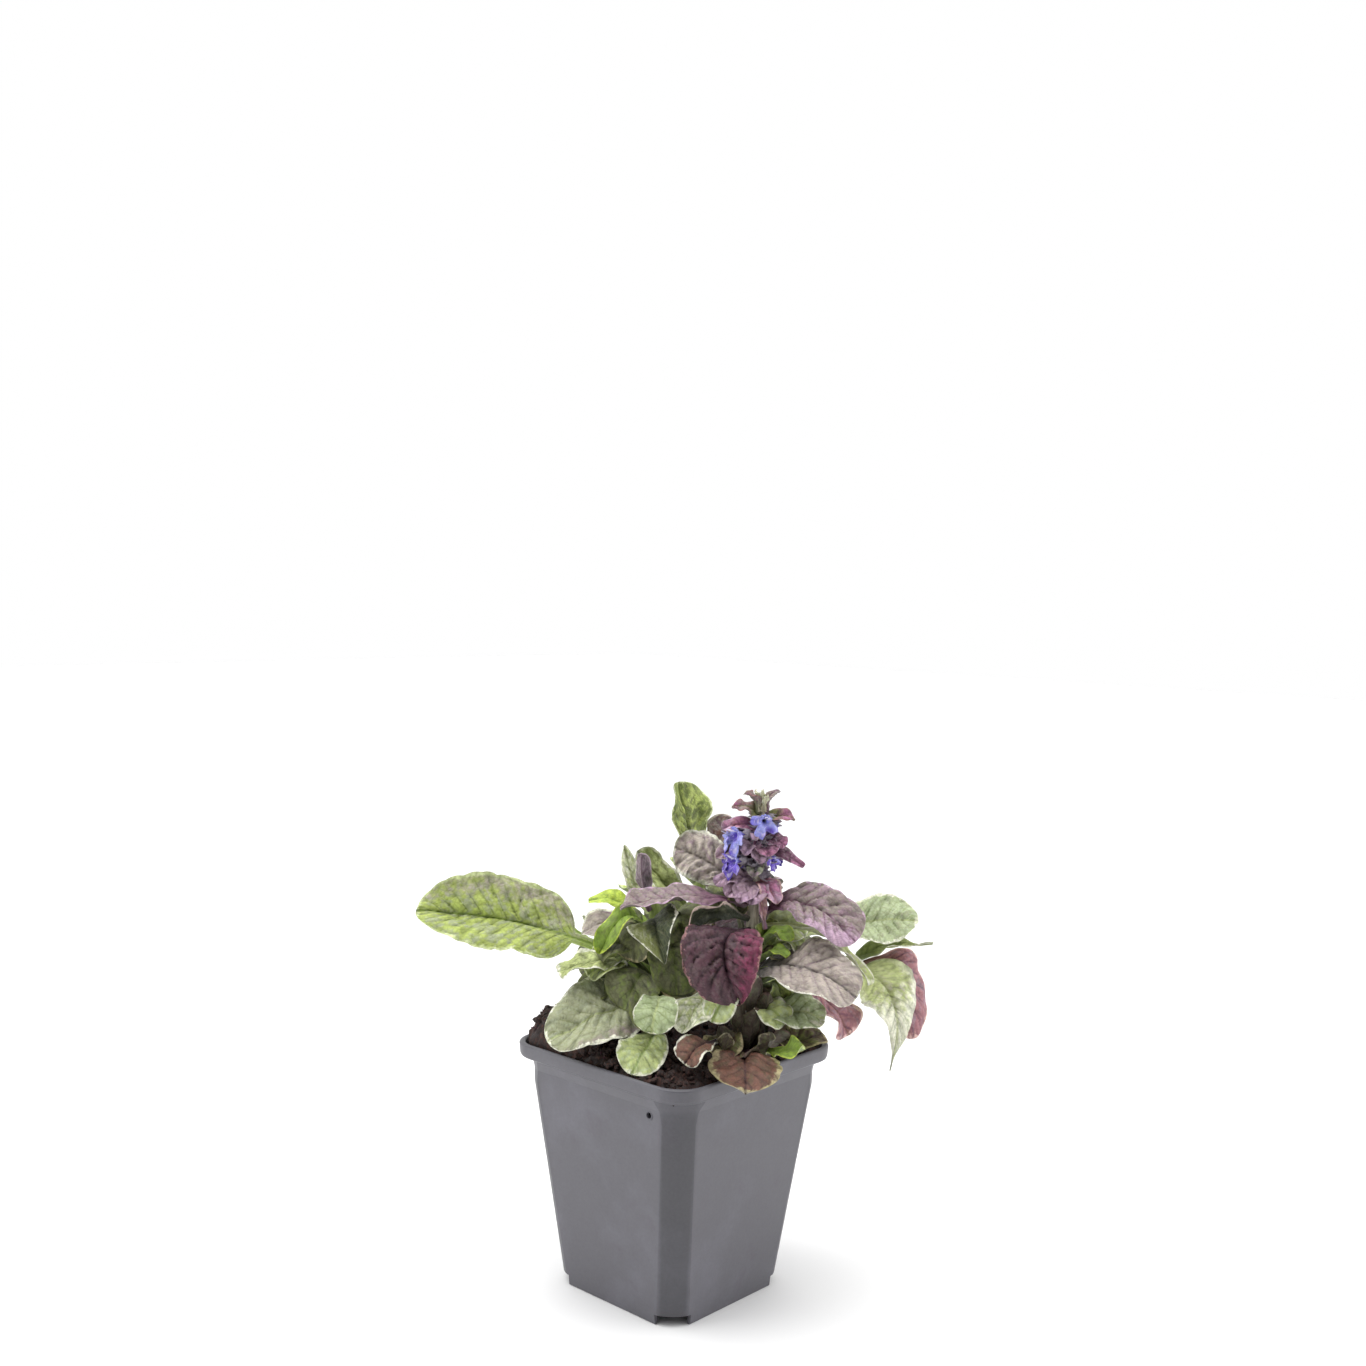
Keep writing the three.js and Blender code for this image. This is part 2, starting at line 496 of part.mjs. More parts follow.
// The flower spike: tiers of bracts sunk into the flowering stem. Each bract is its heading, which
// runs anticlockwise from the plant's right, its rise, both in degrees, its reach and its roll.
const BRACT_TIERS = [
  { z: 156.5, wide: 12,
    bracts: [[-118, -38, 14, -10], [-66, -50, 15, 10], [20, -16, 11, 0], [80, -25, 13, 0]] },
  { z: 168, wide: 8,
    bracts: [[-4, -22, 17.5, 30], [95, -14, 13, 15], [190, -9, 16, -35], [-75, -22, 8, 0]] },
  { z: 175.8, wide: 8,
    bracts: [[64, -8, 10, -10], [130, -17, 11, 0], [194, -2, 16, -25], [-45, -14, 9, 10]] },
  { z: 183.4, wide: 7,
    bracts: [[-10, -19, 12, 30], [75, 5, 10, 20], [178, 8, 12.5, -40], [-95, 5, 8, 0]] },
  { z: 185, wide: 5.5,
    bracts: [[30, 50, 8, 0], [140, 60, 8, 0], [-150, 48, 8, 0], [-45, 66, 7, 0]] },
];
const BRACT_ROWS = 4;
const BRACT_ACROSS = [-1, 0, 1];
// Whorls of flowers: each flower is its heading and how far its mouth stands from the stem's axis.
const WHORLS = [
  { name: 'lower_flowers', z: 162.3,
    flowers: [[180, 13], [-135, 10], [-80, 9.5], [-28, 8], [45, 8], [110, 9]] },
  { name: 'middle_flowers', z: 172.2,
    flowers: [[184, 13], [-140, 9], [-85, 9.5], [-12, 7.5], [35, 8], [92, 8]] },
  { name: 'upper_flowers', z: 179.9,
    flowers: [[150, 6], [-120, 6.5], [-55, 6], [20, 5.5], [98, 5]] },
];
const CALYX = 2;
const TUBE_SIDES = 5;
const LIP_ROWS = [
  { half: 0.9, out: -1, drop: 0.3 },
  { half: 2.7, out: 1, drop: 1.2 },
  { half: 3, out: 2, drop: 4 },
];

function bearing(heading, rise) {
  const [h, r] = [heading, rise].map(THREE.MathUtils.degToRad);
  return new THREE.Vector3(Math.cos(r) * Math.cos(h), Math.cos(r) * Math.sin(h), Math.sin(r));
}

function bractSolid(z, wide, [heading, rise, reach, roll], index) {
  const slope = bearing(heading, rise);
  const root = flowering.at(z).addScaledVector(bearing(heading, 0), 0.4);
  const tip = root.clone().addScaledVector(slope, reach);
  const mid = root.clone().addScaledVector(slope, reach / 2).add(new THREE.Vector3(0, 0, 0.12 * reach));
  return toSolid(leafGeometry({
    root, mid, tip, wide, roll, fold: 12, stalk: 0.1, base: 0.7, wave: 0.4, phase: index,
  }, BRACT_ROWS, BRACT_ACROSS));
}

function buildFlowerStem() {
  let spike = toSolid(shootGeometry(flowering));
  for (const { z, wide, bracts } of BRACT_TIERS) {
    bracts.forEach((bract, index) => {
      spike = spike.add(bractSolid(z, wide, bract, index));
    });
  }
  return named(flowering.name, fromSolid(spike), BRACT);
}

// One blue flower: a short tube that leaves the calyx, with a drooping three-lobed lip.
function flowerSolid(centre, heading, reach) {
  const outward = bearing(heading, 4);
  const side = bearing(heading + 90, 0);
  const up = new THREE.Vector3().crossVectors(outward, side);
  const ring = (distance, radius) => Array.from({ length: TUBE_SIDES }, (_, k) => {
    const angle = 2 * Math.PI * k / TUBE_SIDES;
    return centre.clone().addScaledVector(outward, distance)
      .addScaledVector(side, radius * Math.cos(angle)).addScaledVector(up, radius * Math.sin(angle));
  });
  const tube = loft([ring(CALYX, 1), ring(reach * 0.7, 0.95), ring(reach, 1.35)]);
  const lobes = [-1, -0.5, 0, 0.5, 1];
  const size = 0.42 + 0.045 * reach;
  const upper = LIP_ROWS.map(({ half, out, drop }, row) => lobes.map((v) => {
    const lobe = row === 2 ? 0.6 * Math.cos(2 * Math.PI * v) : 0;
    return centre.clone().addScaledVector(outward, reach + out + 0.6 * lobe)
      .addScaledVector(side, size * half * v).addScaledVector(up, -size * (drop + lobe));
  }));
  const lower = upper.map((row) => row.map((point) => point.clone().addScaledVector(up, -BLADE)));
  return toSolid(tube).add(toSolid(sheet(upper, lower)));
}

function buildWhorl({ name, z, flowers }) {
  const centre = flowering.at(z);
  const radius = flowering.radius(z);
  const collar = (size, half) => loft([-half, half].map((rise) => {
    return ringAbout(flowering.at(z + rise), size, 10);
  }));
  let whorl = toSolid(collar(radius + CALYX, 0.9));
  for (const [heading, reach] of flowers) whorl = whorl.add(flowerSolid(centre, heading, reach));
  whorl = whorl.subtract(toSolid(collar(radius + CLEARANCE, 4)));
  return named(name, fromSolid(whorl), PETALS);
}

function buildLeaves() {
  return LEAVES.map((leaf, index) => {
    const mid = new THREE.Vector3(...leaf.mid);
    const placed = { ...leaf, mid, tip: new THREE.Vector3(...leaf.tip), phase: 2.1 * index };
    placed.root = seat(leaf.on, leaf.z, mid);
    const rows = leaf.wide > SMALL_LEAF_WIDTH ? LEAF_ROWS : SMALL_LEAF_ROWS;
    const finish = { color: LEAF_TONES[leaf.tone], roughness: 0.7, metalness: 0 };
    return named(leaf.name, leafGeometry(placed, rows), finish);
  });
}

const part = new THREE.Group();
part.name = 'potted_bugleweed';
part.add(buildPot(), buildSoil());

const plant = new THREE.Group();
plant.rotation.z = PLANT_TURN;
plant.add(buildFlowerStem(), ...WHORLS.map(buildWhorl));
SHOOTS.filter((shoot) => shoot !== flowering).forEach((shoot) => {
  plant.add(named(shoot.name, shootGeometry(shoot), STEM));
});
buildLeaves().forEach((mesh) => plant.add(mesh));
part.add(plant);
part.updateMatrixWorld(true);

export default part;
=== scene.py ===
import math
import random
from functools import partial

import bmesh
import bpy
import numpy as np
from mathutils import Matrix, Vector, noise


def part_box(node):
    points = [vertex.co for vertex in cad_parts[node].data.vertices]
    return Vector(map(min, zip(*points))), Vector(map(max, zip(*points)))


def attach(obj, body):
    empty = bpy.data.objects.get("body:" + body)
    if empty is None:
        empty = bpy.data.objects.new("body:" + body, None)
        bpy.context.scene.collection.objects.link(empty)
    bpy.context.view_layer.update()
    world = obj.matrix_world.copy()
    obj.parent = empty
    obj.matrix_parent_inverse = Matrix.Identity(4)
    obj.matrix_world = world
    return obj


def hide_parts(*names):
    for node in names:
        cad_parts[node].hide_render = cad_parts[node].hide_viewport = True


bl_info = {
    "name": "Potted bugleweed",
    "version": (1, 0, 0),
    "blender": (4, 5, 0),
    "location": "View3D > Sidebar > Bugleweed",
    "description": "Builds a bugleweed with flushed, cream-edged leaves in its square nursery pot",
    "category": "Add Mesh",
}

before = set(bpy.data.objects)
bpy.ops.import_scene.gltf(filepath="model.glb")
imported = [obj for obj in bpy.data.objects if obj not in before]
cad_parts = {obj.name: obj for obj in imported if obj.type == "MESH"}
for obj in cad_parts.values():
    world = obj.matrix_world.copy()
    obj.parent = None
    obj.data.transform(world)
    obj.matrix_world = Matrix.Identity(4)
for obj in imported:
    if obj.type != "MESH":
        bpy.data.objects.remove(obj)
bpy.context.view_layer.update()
POT_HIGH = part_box("pot")[1]

# Lengths in the tables and formulas are millimetres; a mesh gets them in metres.
MM = 0.001
# The plant is written in a frame turned about the pot's axis: x to the right, y away, z up.
PLANT_TURN = math.radians(42.6)

# Each shoot: foot, top, radius at the foot and at the top.
SHOOTS = {
    "flower_stem": ((24, -17, 82), (31, -8, 186), 2.4, 1.3),
    "left_shoot": ((-4, -6, 82), (-9, -2, 147), 2.6, 1.7),
    "back_shoot": ((6, 22, 82), (9, 18, 158), 2.4, 1.5),
    "right_shoot": ((33, 4, 82), (66, 0, 127), 2.2, 1.6),
    "rear_shoot": ((-22, 26, 82), (-28, 30, 128), 2.2, 1.6),
}

# Each leaf: its name, its shoot, the height of its joint there, the point halfway along its rib,
# its tip, its width, its finish, how far it rolls about its rib and folds along it in degrees, how
# much it is quilted, and what else differs in its shape.
LEAVES = (
    ("big_left_leaf", "left", 120, (-50, -3, 135.6), (-99, -3, 141.5), 34, "lime_silver", -52, 28, 0.8,
     dict(twist=-8, stalk=0.38, base=0.44, wave=1.6, flush=(0, -0.2, -0.65), wing=2.3)),
    ("wavy_left_leaf", "left", 116, (-25, -13, 126), (-44, -15, 122), 15, "wavy_olive", -12, 10, 0.5,
     dict(stalk=0.15, wave=1.6, ruffle=0.8)),
    ("bright_arched_leaf", "left", 127, (-17, -12, 144), (-29, -17, 130), 10, "young_lime", -35, 26, 0.3, {}),
    ("small_mauve_leaf", "left", 130, (-21, 6, 137), (-37, 7, 132), 12, "crinkled_mauve", -50, 10, 0.4, {}),
    ("yellow_tip_leaf", "left", 136, (-20, 13, 142), (-35, 16, 144), 9, "yellow_lime", -25, 15, 0.2, {}),
    ("upright_pale_leaf", "left", 142, (-16, 3, 151), (-21, 6, 167), 10, "fresh_sage", -40, 36, 0.3,
     dict(stalk=0.1, point=0.9)),
    ("folded_mauve_leaf", "left", 144, (-13, -6, 153), (-14, -5, 166), 9, "slate_mauve", 60, 45, 0.4,
     dict(stalk=0.1)),
    ("big_lower_left_leaf", "left", 104, (-20, -20, 110.7), (-46, -31, 100.5), 30, "silver_sage", -28, 10, 0.7,
     dict(stalk=0.1, base=0.8, flush=(-0.2, -0.3, 0.8))),
    ("pale_round_leaf", "left", 110, (-6, -33, 118), (-8.5, -43, 108), 16, "mint_green", 0, 6, 0.3,
     dict(stalk=0.3)),
    ("near_left_leaf", "left", 99.5, (-8, -30, 103), (-15, -45, 94), 18, "spring_sage", -12, 10, 0.5,
     dict(stalk=0.35, base=1.0)),
    ("inner_left_leaf", "left", 124, (-18, -13, 132.5), (-30, -13, 129.5), 14, "shaded_green", -25, 12, 0.5, {}),
    ("inner_low_left_leaf", "left", 113, (-22, 3, 123), (-38, 8, 119), 19, "shaded_green", -45, 12, 0.5, {}),
    ("inner_near_leaf", "left", 127, (-2, -17, 133), (0, -25, 117), 22, "shaded_green", 0, 12, 0.5,
     dict(stalk=0.2)),
    # Its darkest-green flush over one half is painted shade.
    ("shaded_hanging_leaf", "left", 136, (-8.4, -22, 144), (-4.5, -30, 129.5), 20, "shaded_olive", 30, 20, 0.5,
     dict(base=0.7, point=1.1, flush=(0.8, -0.3, 1.2))),
    ("tall_olive_leaf", "back", 138, (-2, 14, 147.5), (-16, 12, 164), 14, "wavy_olive", -60, 15, 0.4,
     dict(stalk=0.15)),
    ("top_leaf", "back", 150, (3, 22, 166), (-0.5, 25, 189.5), 25, "fresh_olive", 0, 20, 0.7,
     dict(stalk=0.15, point=0.42, flush=(-0.2, -0.5, 0.7))),
    ("behind_spike_leaf", "back", 148, (15, 18, 164), (20, 16, 177), 15, "brown_grey", 60, 15, 0.4, {}),
    ("crinkled_mauve_leaf", "flowering", 152, (12, 0, 161.5), (-2, 4, 166.5), 20, "crinkled_mauve", -60, 12, 1.1,
     dict(stalk=0.1, base=0.8, wave=1.6, ruffle=0.6)),
    ("long_purple_leaf", "flowering", 149, (0, -20, 153), (-21, -26, 149), 15, "long_mauve", -14, 8, 0.5,
     dict(stalk=0.1, base=0.7, ruffle=0.6, flush=(-0.2, 0.5, 0))),
    ("dark_green_leaf", "flowering", 144, (14, -24, 147), (3.5, -31, 142), 16, "margined_green", 45, 8, 0.3,
     dict(stalk=0.1, flush=(-0.5, 0, 0))),
    # Its magenta flush over one half is partly the leaf's own red-purple and partly painted light on the half that
    # faces the light.
    ("big_burgundy_leaf", "flowering", 140.5, (17, -37, 138), (23, -40, 118), 32, "burgundy", 0, 24, 1.5,
     dict(stalk=0.12, base=0.95, point=0.85, flush=(0, 0, 0.9))),
    ("quilted_purple_leaf", "flowering", 144.5, (46, -16, 150.5), (65, -24, 138), 24, "quilted_mauve", 32, 10, 1.2,
     dict(stalk=0.08, flush=(-0.2, 0.75, -0.5))),
    ("inner_right_leaf", "flowering", 134, (38, -12, 141), (48, -14, 138), 18, "spring_sage", 35, 12, 0.4,
     dict(stalk=0.15)),
    ("inner_low_right_leaf", "flowering", 126, (40, 2, 130), (54, 8, 124), 22, "shaded_green", 40, 12, 0.4, {}),
    # Its slate flush near the stalk on one side is painted shade.
    ("crinkled_grey_leaf", "flowering", 124, (44, -28, 129.5), (65, -36, 121), 28, "crinkled_grey", 26, 10, 0.9,
     dict(stalk=0.05, base=0.8, flush=(-0.3, -0.8, 0.5))),
    ("frilly_pink_leaf", "flowering", 114, (50, -12, 116.5), (65.5, -14, 101), 22, "rose", 25, 10, 0.6,
     dict(base=0.6, point=0.3, wave=2, waves=3.2, ruffle=1)),
    ("pale_low_leaf", "flowering", 109, (40, -29, 114), (54, -32, 111.5), 19, "mint_green", 26, 10, 0.5,
     dict(stalk=0.1, base=0.8, flush=(-0.2, 0.6, 0))),
    ("brown_olive_leaf", "flowering", 103, (41, -29, 103), (54, -27, 105), 15, "brown_olive", 30, 10, 0.4, {}),
    ("bright_small_leaf", "flowering", 100.3, (36, -37, 101), (45.5, -44, 105.5), 11, "young_lime", 35, 8, 0.3,
     dict(stalk=0.4, ruffle=0.6)),
    ("leaf_over_rim", "flowering", 97.5, (25, -38, 99.5), (25, -56, 92), 25, "red_brown", 0, 6, 0.5,
     dict(stalk=0.3, base=0.85, flush=(0.35, -1.2, 0))),
    ("light_near_leaf", "flowering", 112, (11, -31, 117.5), (2.5, -40, 107.5), 18, "fresh_sage", 0, 10, 0.3,
     dict(stalk=0.2)),
    ("brown_spoon_leaf", "flowering", 101, (12, -40, 104), (3.5, -50, 99.5), 15, "brown_spoon", -8, 24, 0.6,
     dict(stalk=0.4, flush=(0.35, -1.1, 0))),
    ("small_upright_leaf", "flowering", 105.5, (22, -27, 108), (22.5, -30, 116), 8, "spring_sage", 0, 12, 0.2, {}),
    ("slender_right_leaf", "flowering", 141, (55, -19, 140), (72, -23, 122.5), 5, "pale_tail", 20, 12, 0.1,
     dict(stalk=0.2)),
    ("far_right_leaf", "flowering", 131, (62, 3, 138.3), (92, 2, 140.6), 21, "pale_sage", 48, 10, 0.6,
     dict(stalk=0.3, point=0.55, flush=(-0.4, -0.4, -0.6))),
    ("slender_tip_leaf", "right", 126.5, (81, 1, 131.6), (98, 2, 133), 6, "wavy_olive", 30, 10, 0.1,
     dict(stalk=0.03, base=0.3, point=1.2)),
    ("pink_hanging_leaf", "right", 119, (86, 5, 124), (90, 2.5, 95), 19, "rose", 38, 12, 0.7,
     dict(stalk=0.25, flush=(-0.1, -0.8, 0))),
    ("pale_hanging_leaf", "right", 123, (81, -9, 114), (80.5, -14, 87.5), 24, "pale_tail", 32, 10, 0.6,
     dict(stalk=0.1, base=0.8, point=1.9, flush=(0.3, 1.2, 0))),
    ("right_back_leaf", "right", 110, (54, 24, 120), (55, 42, 110), 22, "silver_sage", 0, 14, 0.7, {}),
    ("right_low_leaf", "right", 102, (54, 20, 104), (64, 30, 96), 18, "burgundy", 0, 12, 0.8, {}),
    ("back_upper_leaf", "back", 142, (8, 34, 149), (9, 48, 152), 24, "fresh_olive", 0, 18, 0.6, {}),
    ("back_right_leaf", "back", 138, (26, 38, 150), (36, 50, 142), 21, "quilted_mauve", 0, 14, 0.9, {}),
    ("back_left_leaf", "back", 128, (-8, 44, 141), (-13, 61, 136), 26, "lime_silver", 0, 14, 0.7, {}),
    ("back_middle_leaf", "back", 120, (20, 48, 131), (24, 68, 119), 32, "burgundy", 0, 12, 1, {}),
    ("back_low_right_leaf", "back", 104, (30, 41, 110), (37, 54, 99), 30, "silver_sage", 0, 12, 0.8, {}),
    ("back_low_leaf", "back", 110, (0, 45, 114), (-3, 63, 102), 24, "rose", 0, 12, 0.7, {}),
    ("rear_upper_leaf", "rear", 124, (-28, 50, 128), (-28, 66, 116), 23, "fresh_olive", 0, 12, 0.6, {}),
    ("rear_left_leaf", "rear", 119, (-46, 34, 128), (-59, 38, 117), 22, "lime_silver", -10, 12, 0.7,
     dict(flush=(0, 0.2, 0.3))),
    ("rear_low_left_leaf", "rear", 105, (-28, 44, 109), (-28, 56, 99), 22, "crinkled_mauve", -10, 12, 0.8, {}),
    ("rear_low_leaf", "rear", 103, (-14, 36, 108), (-9, 47, 101.5), 18, "pale_sage", 0, 12, 0.5, {}),
)

# Leaves deep in the plant, mostly in shade, which fill the room between the shoots: shoot, joint,
# middle, tip, width, finish and roll, and a few have a fold and a length of stalk of their own.
INNER_LEAVES = (
    ("left", 108, (-10, -20, 116), (-2, -27, 105), 22, "shaded_green", 0),
    ("left", 114, (-24, -10, 118), (-36, -12, 108), 18, "shaded_green", -20),
    ("left", 120, (-4, -16, 126), (6, -22, 116), 20, "deep_olive", 10),
    ("left", 106, (-22, -2, 110), (-36, 2, 104), 20, "fresh_olive", -30),
    ("left", 130, (-16, -2, 140), (-24, 2, 132), 16, "shaded_green", -30),
    ("left", 134, (2, -8, 146), (10, -12, 138), 18, "shaded_green", 10),
    ("left", 102, (-14, 8, 106), (-24, 14, 100), 18, "fresh_olive", 0),
    ("left", 114, (-12, -17, 123), (-19, -24, 111), 22, "shaded_green", -10),
    ("left", 119, (-20, -10, 128), (-33, -12, 120), 20, "fresh_olive", -20),
    ("left", 108, (-20, -8, 113), (-31, -12, 106), 20, "deep_olive", -15),
    ("back", 132, (0, 10, 142), (-8, 4, 134), 18, "shaded_green", -20),
    ("back", 140, (14, 10, 152), (22, 4, 146), 18, "shaded_olive", 20),
    ("back", 118, (16, 8, 124), (20, -2, 116), 22, "shaded_green", 0),
    ("flowering", 128, (38, -6, 136), (46, -4, 128), 18, "fresh_olive", 20),
    ("flowering", 118, (40, -10, 122), (50, -8, 112), 20, "shaded_green", 20),
    ("flowering", 108, (36, -14, 110), (46, -14, 101), 18, "brown_olive", 0),
    ("flowering", 104, (20, -30, 104), (16, -36, 98), 16, "brown_olive", 0),
    ("flowering", 120, (32, -20, 118), (34, -24, 108), 18, "dark_base", 0),
    ("flowering", 106, (32, -30, 114), (40, -34, 110.5), 16, "spring_sage", 12),
    ("flowering", 112, (19.5, -35, 121), (13, -41, 112), 12, "spring_sage", -30),
    ("flowering", 134, (36, -20, 141.5), (42, -24, 138), 6, "young_lime", 30),
    ("flowering", 128, (35, -22, 134), (40, -26, 132), 6, "young_lime", 20),
    ("flowering", 122, (34, -12, 131), (40, -12, 124), 20, "brown_olive", 10),
    ("flowering", 98, (34, -22, 107), (42, -24, 102), 16, "brown_olive", 0),
    ("left", 126, (-13, -13, 139), (-16, -16, 127), 19, "deep_olive", 0),
    ("left", 132, (0, -10, 141), (4, -13, 132), 18, "shaded_green", 20),
    ("back", 140, (14, 0, 150), (16, -6, 143), 14, "deep_olive", 0),
    ("flowering", 138, (23, -11, 145), (20, -9, 152), 14, "deep_olive", 0),
    ("flowering", 88, (26, -30, 100), (29, -34, 116), 8, "dark_base", 0, 25, 0.1),
    ("flowering", 90, (21, -31, 98), (16, -35, 109), 8, "dark_base", 10, 25, 0.1),
    ("flowering", 88, (34, -28, 98), (41, -32, 107), 9, "dark_base", 0, 25, 0.1),
    ("flowering", 92, (27, -33, 96), (25, -41, 101), 9, "dark_base", 0, 10, 0.1),
    ("flowering", 90, (24, -30, 104), (23, -33, 120), 6, "dark_base", 20, 25, 0.1),
    ("flowering", 90, (31, -28, 104), (33, -31, 121), 7, "dark_base", -20, 25, 0.1),
    ("flowering", 92, (28, -28, 108), (30, -29, 126), 9, "dark_base", 10, 15, 0.1),
    ("flowering", 88, (18, -34, 99), (20, -39, 107), 7, "brown_olive", 0, 20, 0.1),
    ("flowering", 88, (32, -33, 99), (33, -38, 108), 7, "brown_olive", 0, 20, 0.1),
    ("flowering", 134, (38, -16, 139), (46, -18, 132), 12, "spring_sage", 20),
    ("flowering", 124, (36, -20, 128), (44, -24, 122), 14, "fresh_olive", 20),
    ("flowering", 136, (32.5, -12, 142), (32.4, -14, 133.7), 11, "fresh_olive", 15),
    ("flowering", 149, (34.6, -6, 151.5), (37.6, -7, 145), 8, "brown_grey", 10, 12, 0.1),
    ("flowering", 118, (36.6, -21, 121.2), (37.5, -24, 114), 10, "fresh_olive", 10),
    ("rear", 116, (-18, 14, 124), (-16, 4, 116), 20, "shaded_green", 0),
    ("right", 108, (44, 12, 114), (38, 18, 106), 18, "fresh_olive", 0),
    ("right", 116, (62, 10, 124), (58, 20, 118), 16, "fresh_olive", 0),
)

# The bracts of the flower spike: height of the foot, heading (anticlockwise from the plant's right)
# and rise in degrees, reach, half-width, roll and finish, and what differs in the shape.
BRACTS = (
    (158, -150, -24, 13.5, 11, -45, "grey_bract", {}),
    (157.5, -126, -33, 12.5, 10, -25, "grey_bract", {}),
    (157, -104, -37, 11.5, 12, -5, "grey_bract", {}),
    (159, -172, -12, 15.6, 8, -40, "grey_bract", {}),
    (158, -44, -36, 12.8, 9.5, 20, "pink_bract", {}),
    (154, -52, -66, 15, 4.6, 0, "blush_bract", dict(base=0.3)),
    (157, 150, -20, 12, 10, -20, "grey_bract", {}),
    (157, 30, -20, 11, 9, 0, "grey_bract", {}),
    (157, 92, -25, 13, 12, 0, "grey_bract", {}),
    (169, -7, -19, 17.5, 4.6, 60, "purple_bract", dict(base=0.25, point=0.3, stalk=0, wave=0.2, ruffle=0.3)),
    (164.5, -103, -30, 8.9, 6.5, 0, "silver_bract", {}),
    (168, -177, -8, 16, 8, -40, "brown_grey", {}),
    (166, 178, -20, 13, 9, -30, "brown_grey", {}),
    (167, 95, -14, 13, 11, 0, "purple_bract", {}),
    (167, 40, -15, 12, 9, 0, "grey_bract", {}),
    (173, -66, -36, 9.5, 10, 10, "purple_bract", {}),
    (173.5, -25, -16, 10, 7.5, 30, "purple_bract", {}),
    (172.5, -135, -27, 9.6, 7, -25, "grey_bract", {}),
    (170, -92, -30, 8.5, 7, 0, "grey_bract", {}),
    (177, -172, -3, 14.4, 7, -35, "magenta_bract", {}),
    (175.5, -105, -12, 7, 6, 0, "grey_bract", {}),
    (175.8, 64, -8, 10, 8, -10, "purple_bract", {}),
    (175.8, 130, -17, 11, 8, 0, "purple_bract", {}),
    (181.5, -10, -5, 12, 6.5, 35, "olive_bract", dict(point=0.8, flush=(0.4, 0.9, 0))),
    (181, -175, 24, 12.1, 6, -30, "tuft_bract", dict(point=0.8)),
    (182, -170, 58, 10.8, 4.2, 0, "tuft_bract", dict(point=0.8)),
    (180, 100, 10, 10, 8, 0, "tuft_bract", {}),
    (182, 6, 64, 11.2, 4, 20, "brown_grey", {}),
    (183, -147, 72, 9.2, 2.6, 20, "tip_bract", dict(point=0.9)),
    (183, -95, 80, 8.9, 2.4, 0, "tip_bract", dict(point=0.9)),
    (183, -61, 68, 7.6, 2.8, -20, "tip_bract", dict(point=0.9)),
    (184, 165, 66, 6, 3.2, 10, "olive_bract", {}),
    (184, 60, 66, 6, 4, 0, "tip_bract", {}),
)
BRACT_SHAPE = dict(fold=14, stalk=0.05, base=0.6, wave=0.6, quilt=0.5, ruffle=0.6, flush=(-0.1, 0.8, 0), wing=1.4)

# Whorls of flowers: piece, height, and for each flower its heading, how far its mouth stands from
# the stem's axis, how much higher than the whorl it leaves the stem, and its size.
WHORLS = (
    ("lower_flowers", 162.3, (
        (-150, 11.9, 3.2, 1.05), (-174, 12.5, 2.2, 0.8), (-48, 8.1, 4, 0.6), (45, 9, 2, 0.75),
        (85, 9, 1, 1), (130, 9, 0, 1))),
    ("middle_flowers", 172.2, (
        (-150, 12.2, 3.2, 1.15), (-176, 12.8, 1.4, 0.9), (40, 9, 0, 0.9), (88, 9, 1, 1), (135, 9, 0, 1))),
    ("upper_flowers", 179.9, (
        (-83, 7, 0.4, 0.95), (4, 6, -1, 0.5), (70, 6.5, -1, 0.7), (120, 6.5, -2, 0.7))),
)


def linear(code):
    """A colour's sRGB hex code as linear red, green and blue."""
    parts = [int(code[k:k + 2], 16) / 255 for k in (1, 3, 5)]
    return tuple(c / 12.92 if c <= 0.04045 else ((c + 0.055) / 1.055) ** 2.4 for c in parts)


def swatch(name, code, description):
    """A colour of the panel, given by its hex code."""
    return bpy.props.FloatVectorProperty(
        name=name, description=description, subtype="COLOR", size=3, min=0, max=1, default=linear(code))


def length(name, value, description):
    """A length of the panel, given in millimetres."""
    return bpy.props.FloatProperty(
        name=name, description=description, unit="LENGTH", subtype="DISTANCE", min=0, default=value * MM)


def share(name, value, description, top=1.0):
    """A slider of the panel from none to its top."""
    return bpy.props.FloatProperty(
        name=name, description=description, subtype="FACTOR", min=0, max=top, default=value)


class PotSettings(bpy.types.PropertyGroup):
    height: length("Height", POT_HIGH.z / MM, "Height of the pot")
    rim: length("Rim half-width", POT_HIGH.x / MM, "From the middle of the pot to a flat of its rim")
    foot: length("Foot half-width", 31.5, "From the middle of the pot to a flat of its foot")
    wall: length("Wall", 1.2, "Thickness of the moulded wall")
    plastic: swatch("Plastic", "#5d5c62", "Recycled grey plastic of the pot")
    scuff: swatch("Scuffs", "#82818c", "Pale rubbed places on the plastic")
    smudge: swatch("Smudges", "#57525a", "Brownish peat stains on the plastic")


class PeatSettings(bpy.types.PropertyGroup):
    crumbs: bpy.props.IntProperty(
        name="Crumbs", description="How many loose crumbs lie on the peat", min=0, max=900, default=520)
    chips: bpy.props.IntProperty(
        name="Bark chips", description="How many slivers of bark lie on the peat", min=0, max=200, default=70)
    roots: bpy.props.IntProperty(
        name="Old roots", description="How many bits of old root and leaf stalk lie on the peat",
        min=0, max=300, default=140)
    dark: swatch("Wet peat", "#1f1311", "The damp, dark ground of the peat")
    light: swatch("Dry peat", "#4a332d", "The drier crumbs of the peat")
    bark: swatch("Bark", "#5e4036", "Slivers of bark and wood")
    root: swatch("Roots", "#5a2f42", "Purplish bits of old leaves and roots")


class LeafSettings(bpy.types.PropertyGroup):
    thickness: length("Thickness", 0.5, "Thickness of a blade between its veins")
    veins: length("Vein spacing", 4.6, "Distance between side veins along the rib")
    crenation: share("Scalloping", 0.03, "Depth of the scallops as a share of the half-width", 0.2)
    quilting: share("Quilting", 1.4, "How far the blade puffs up between its veins", 2.0)


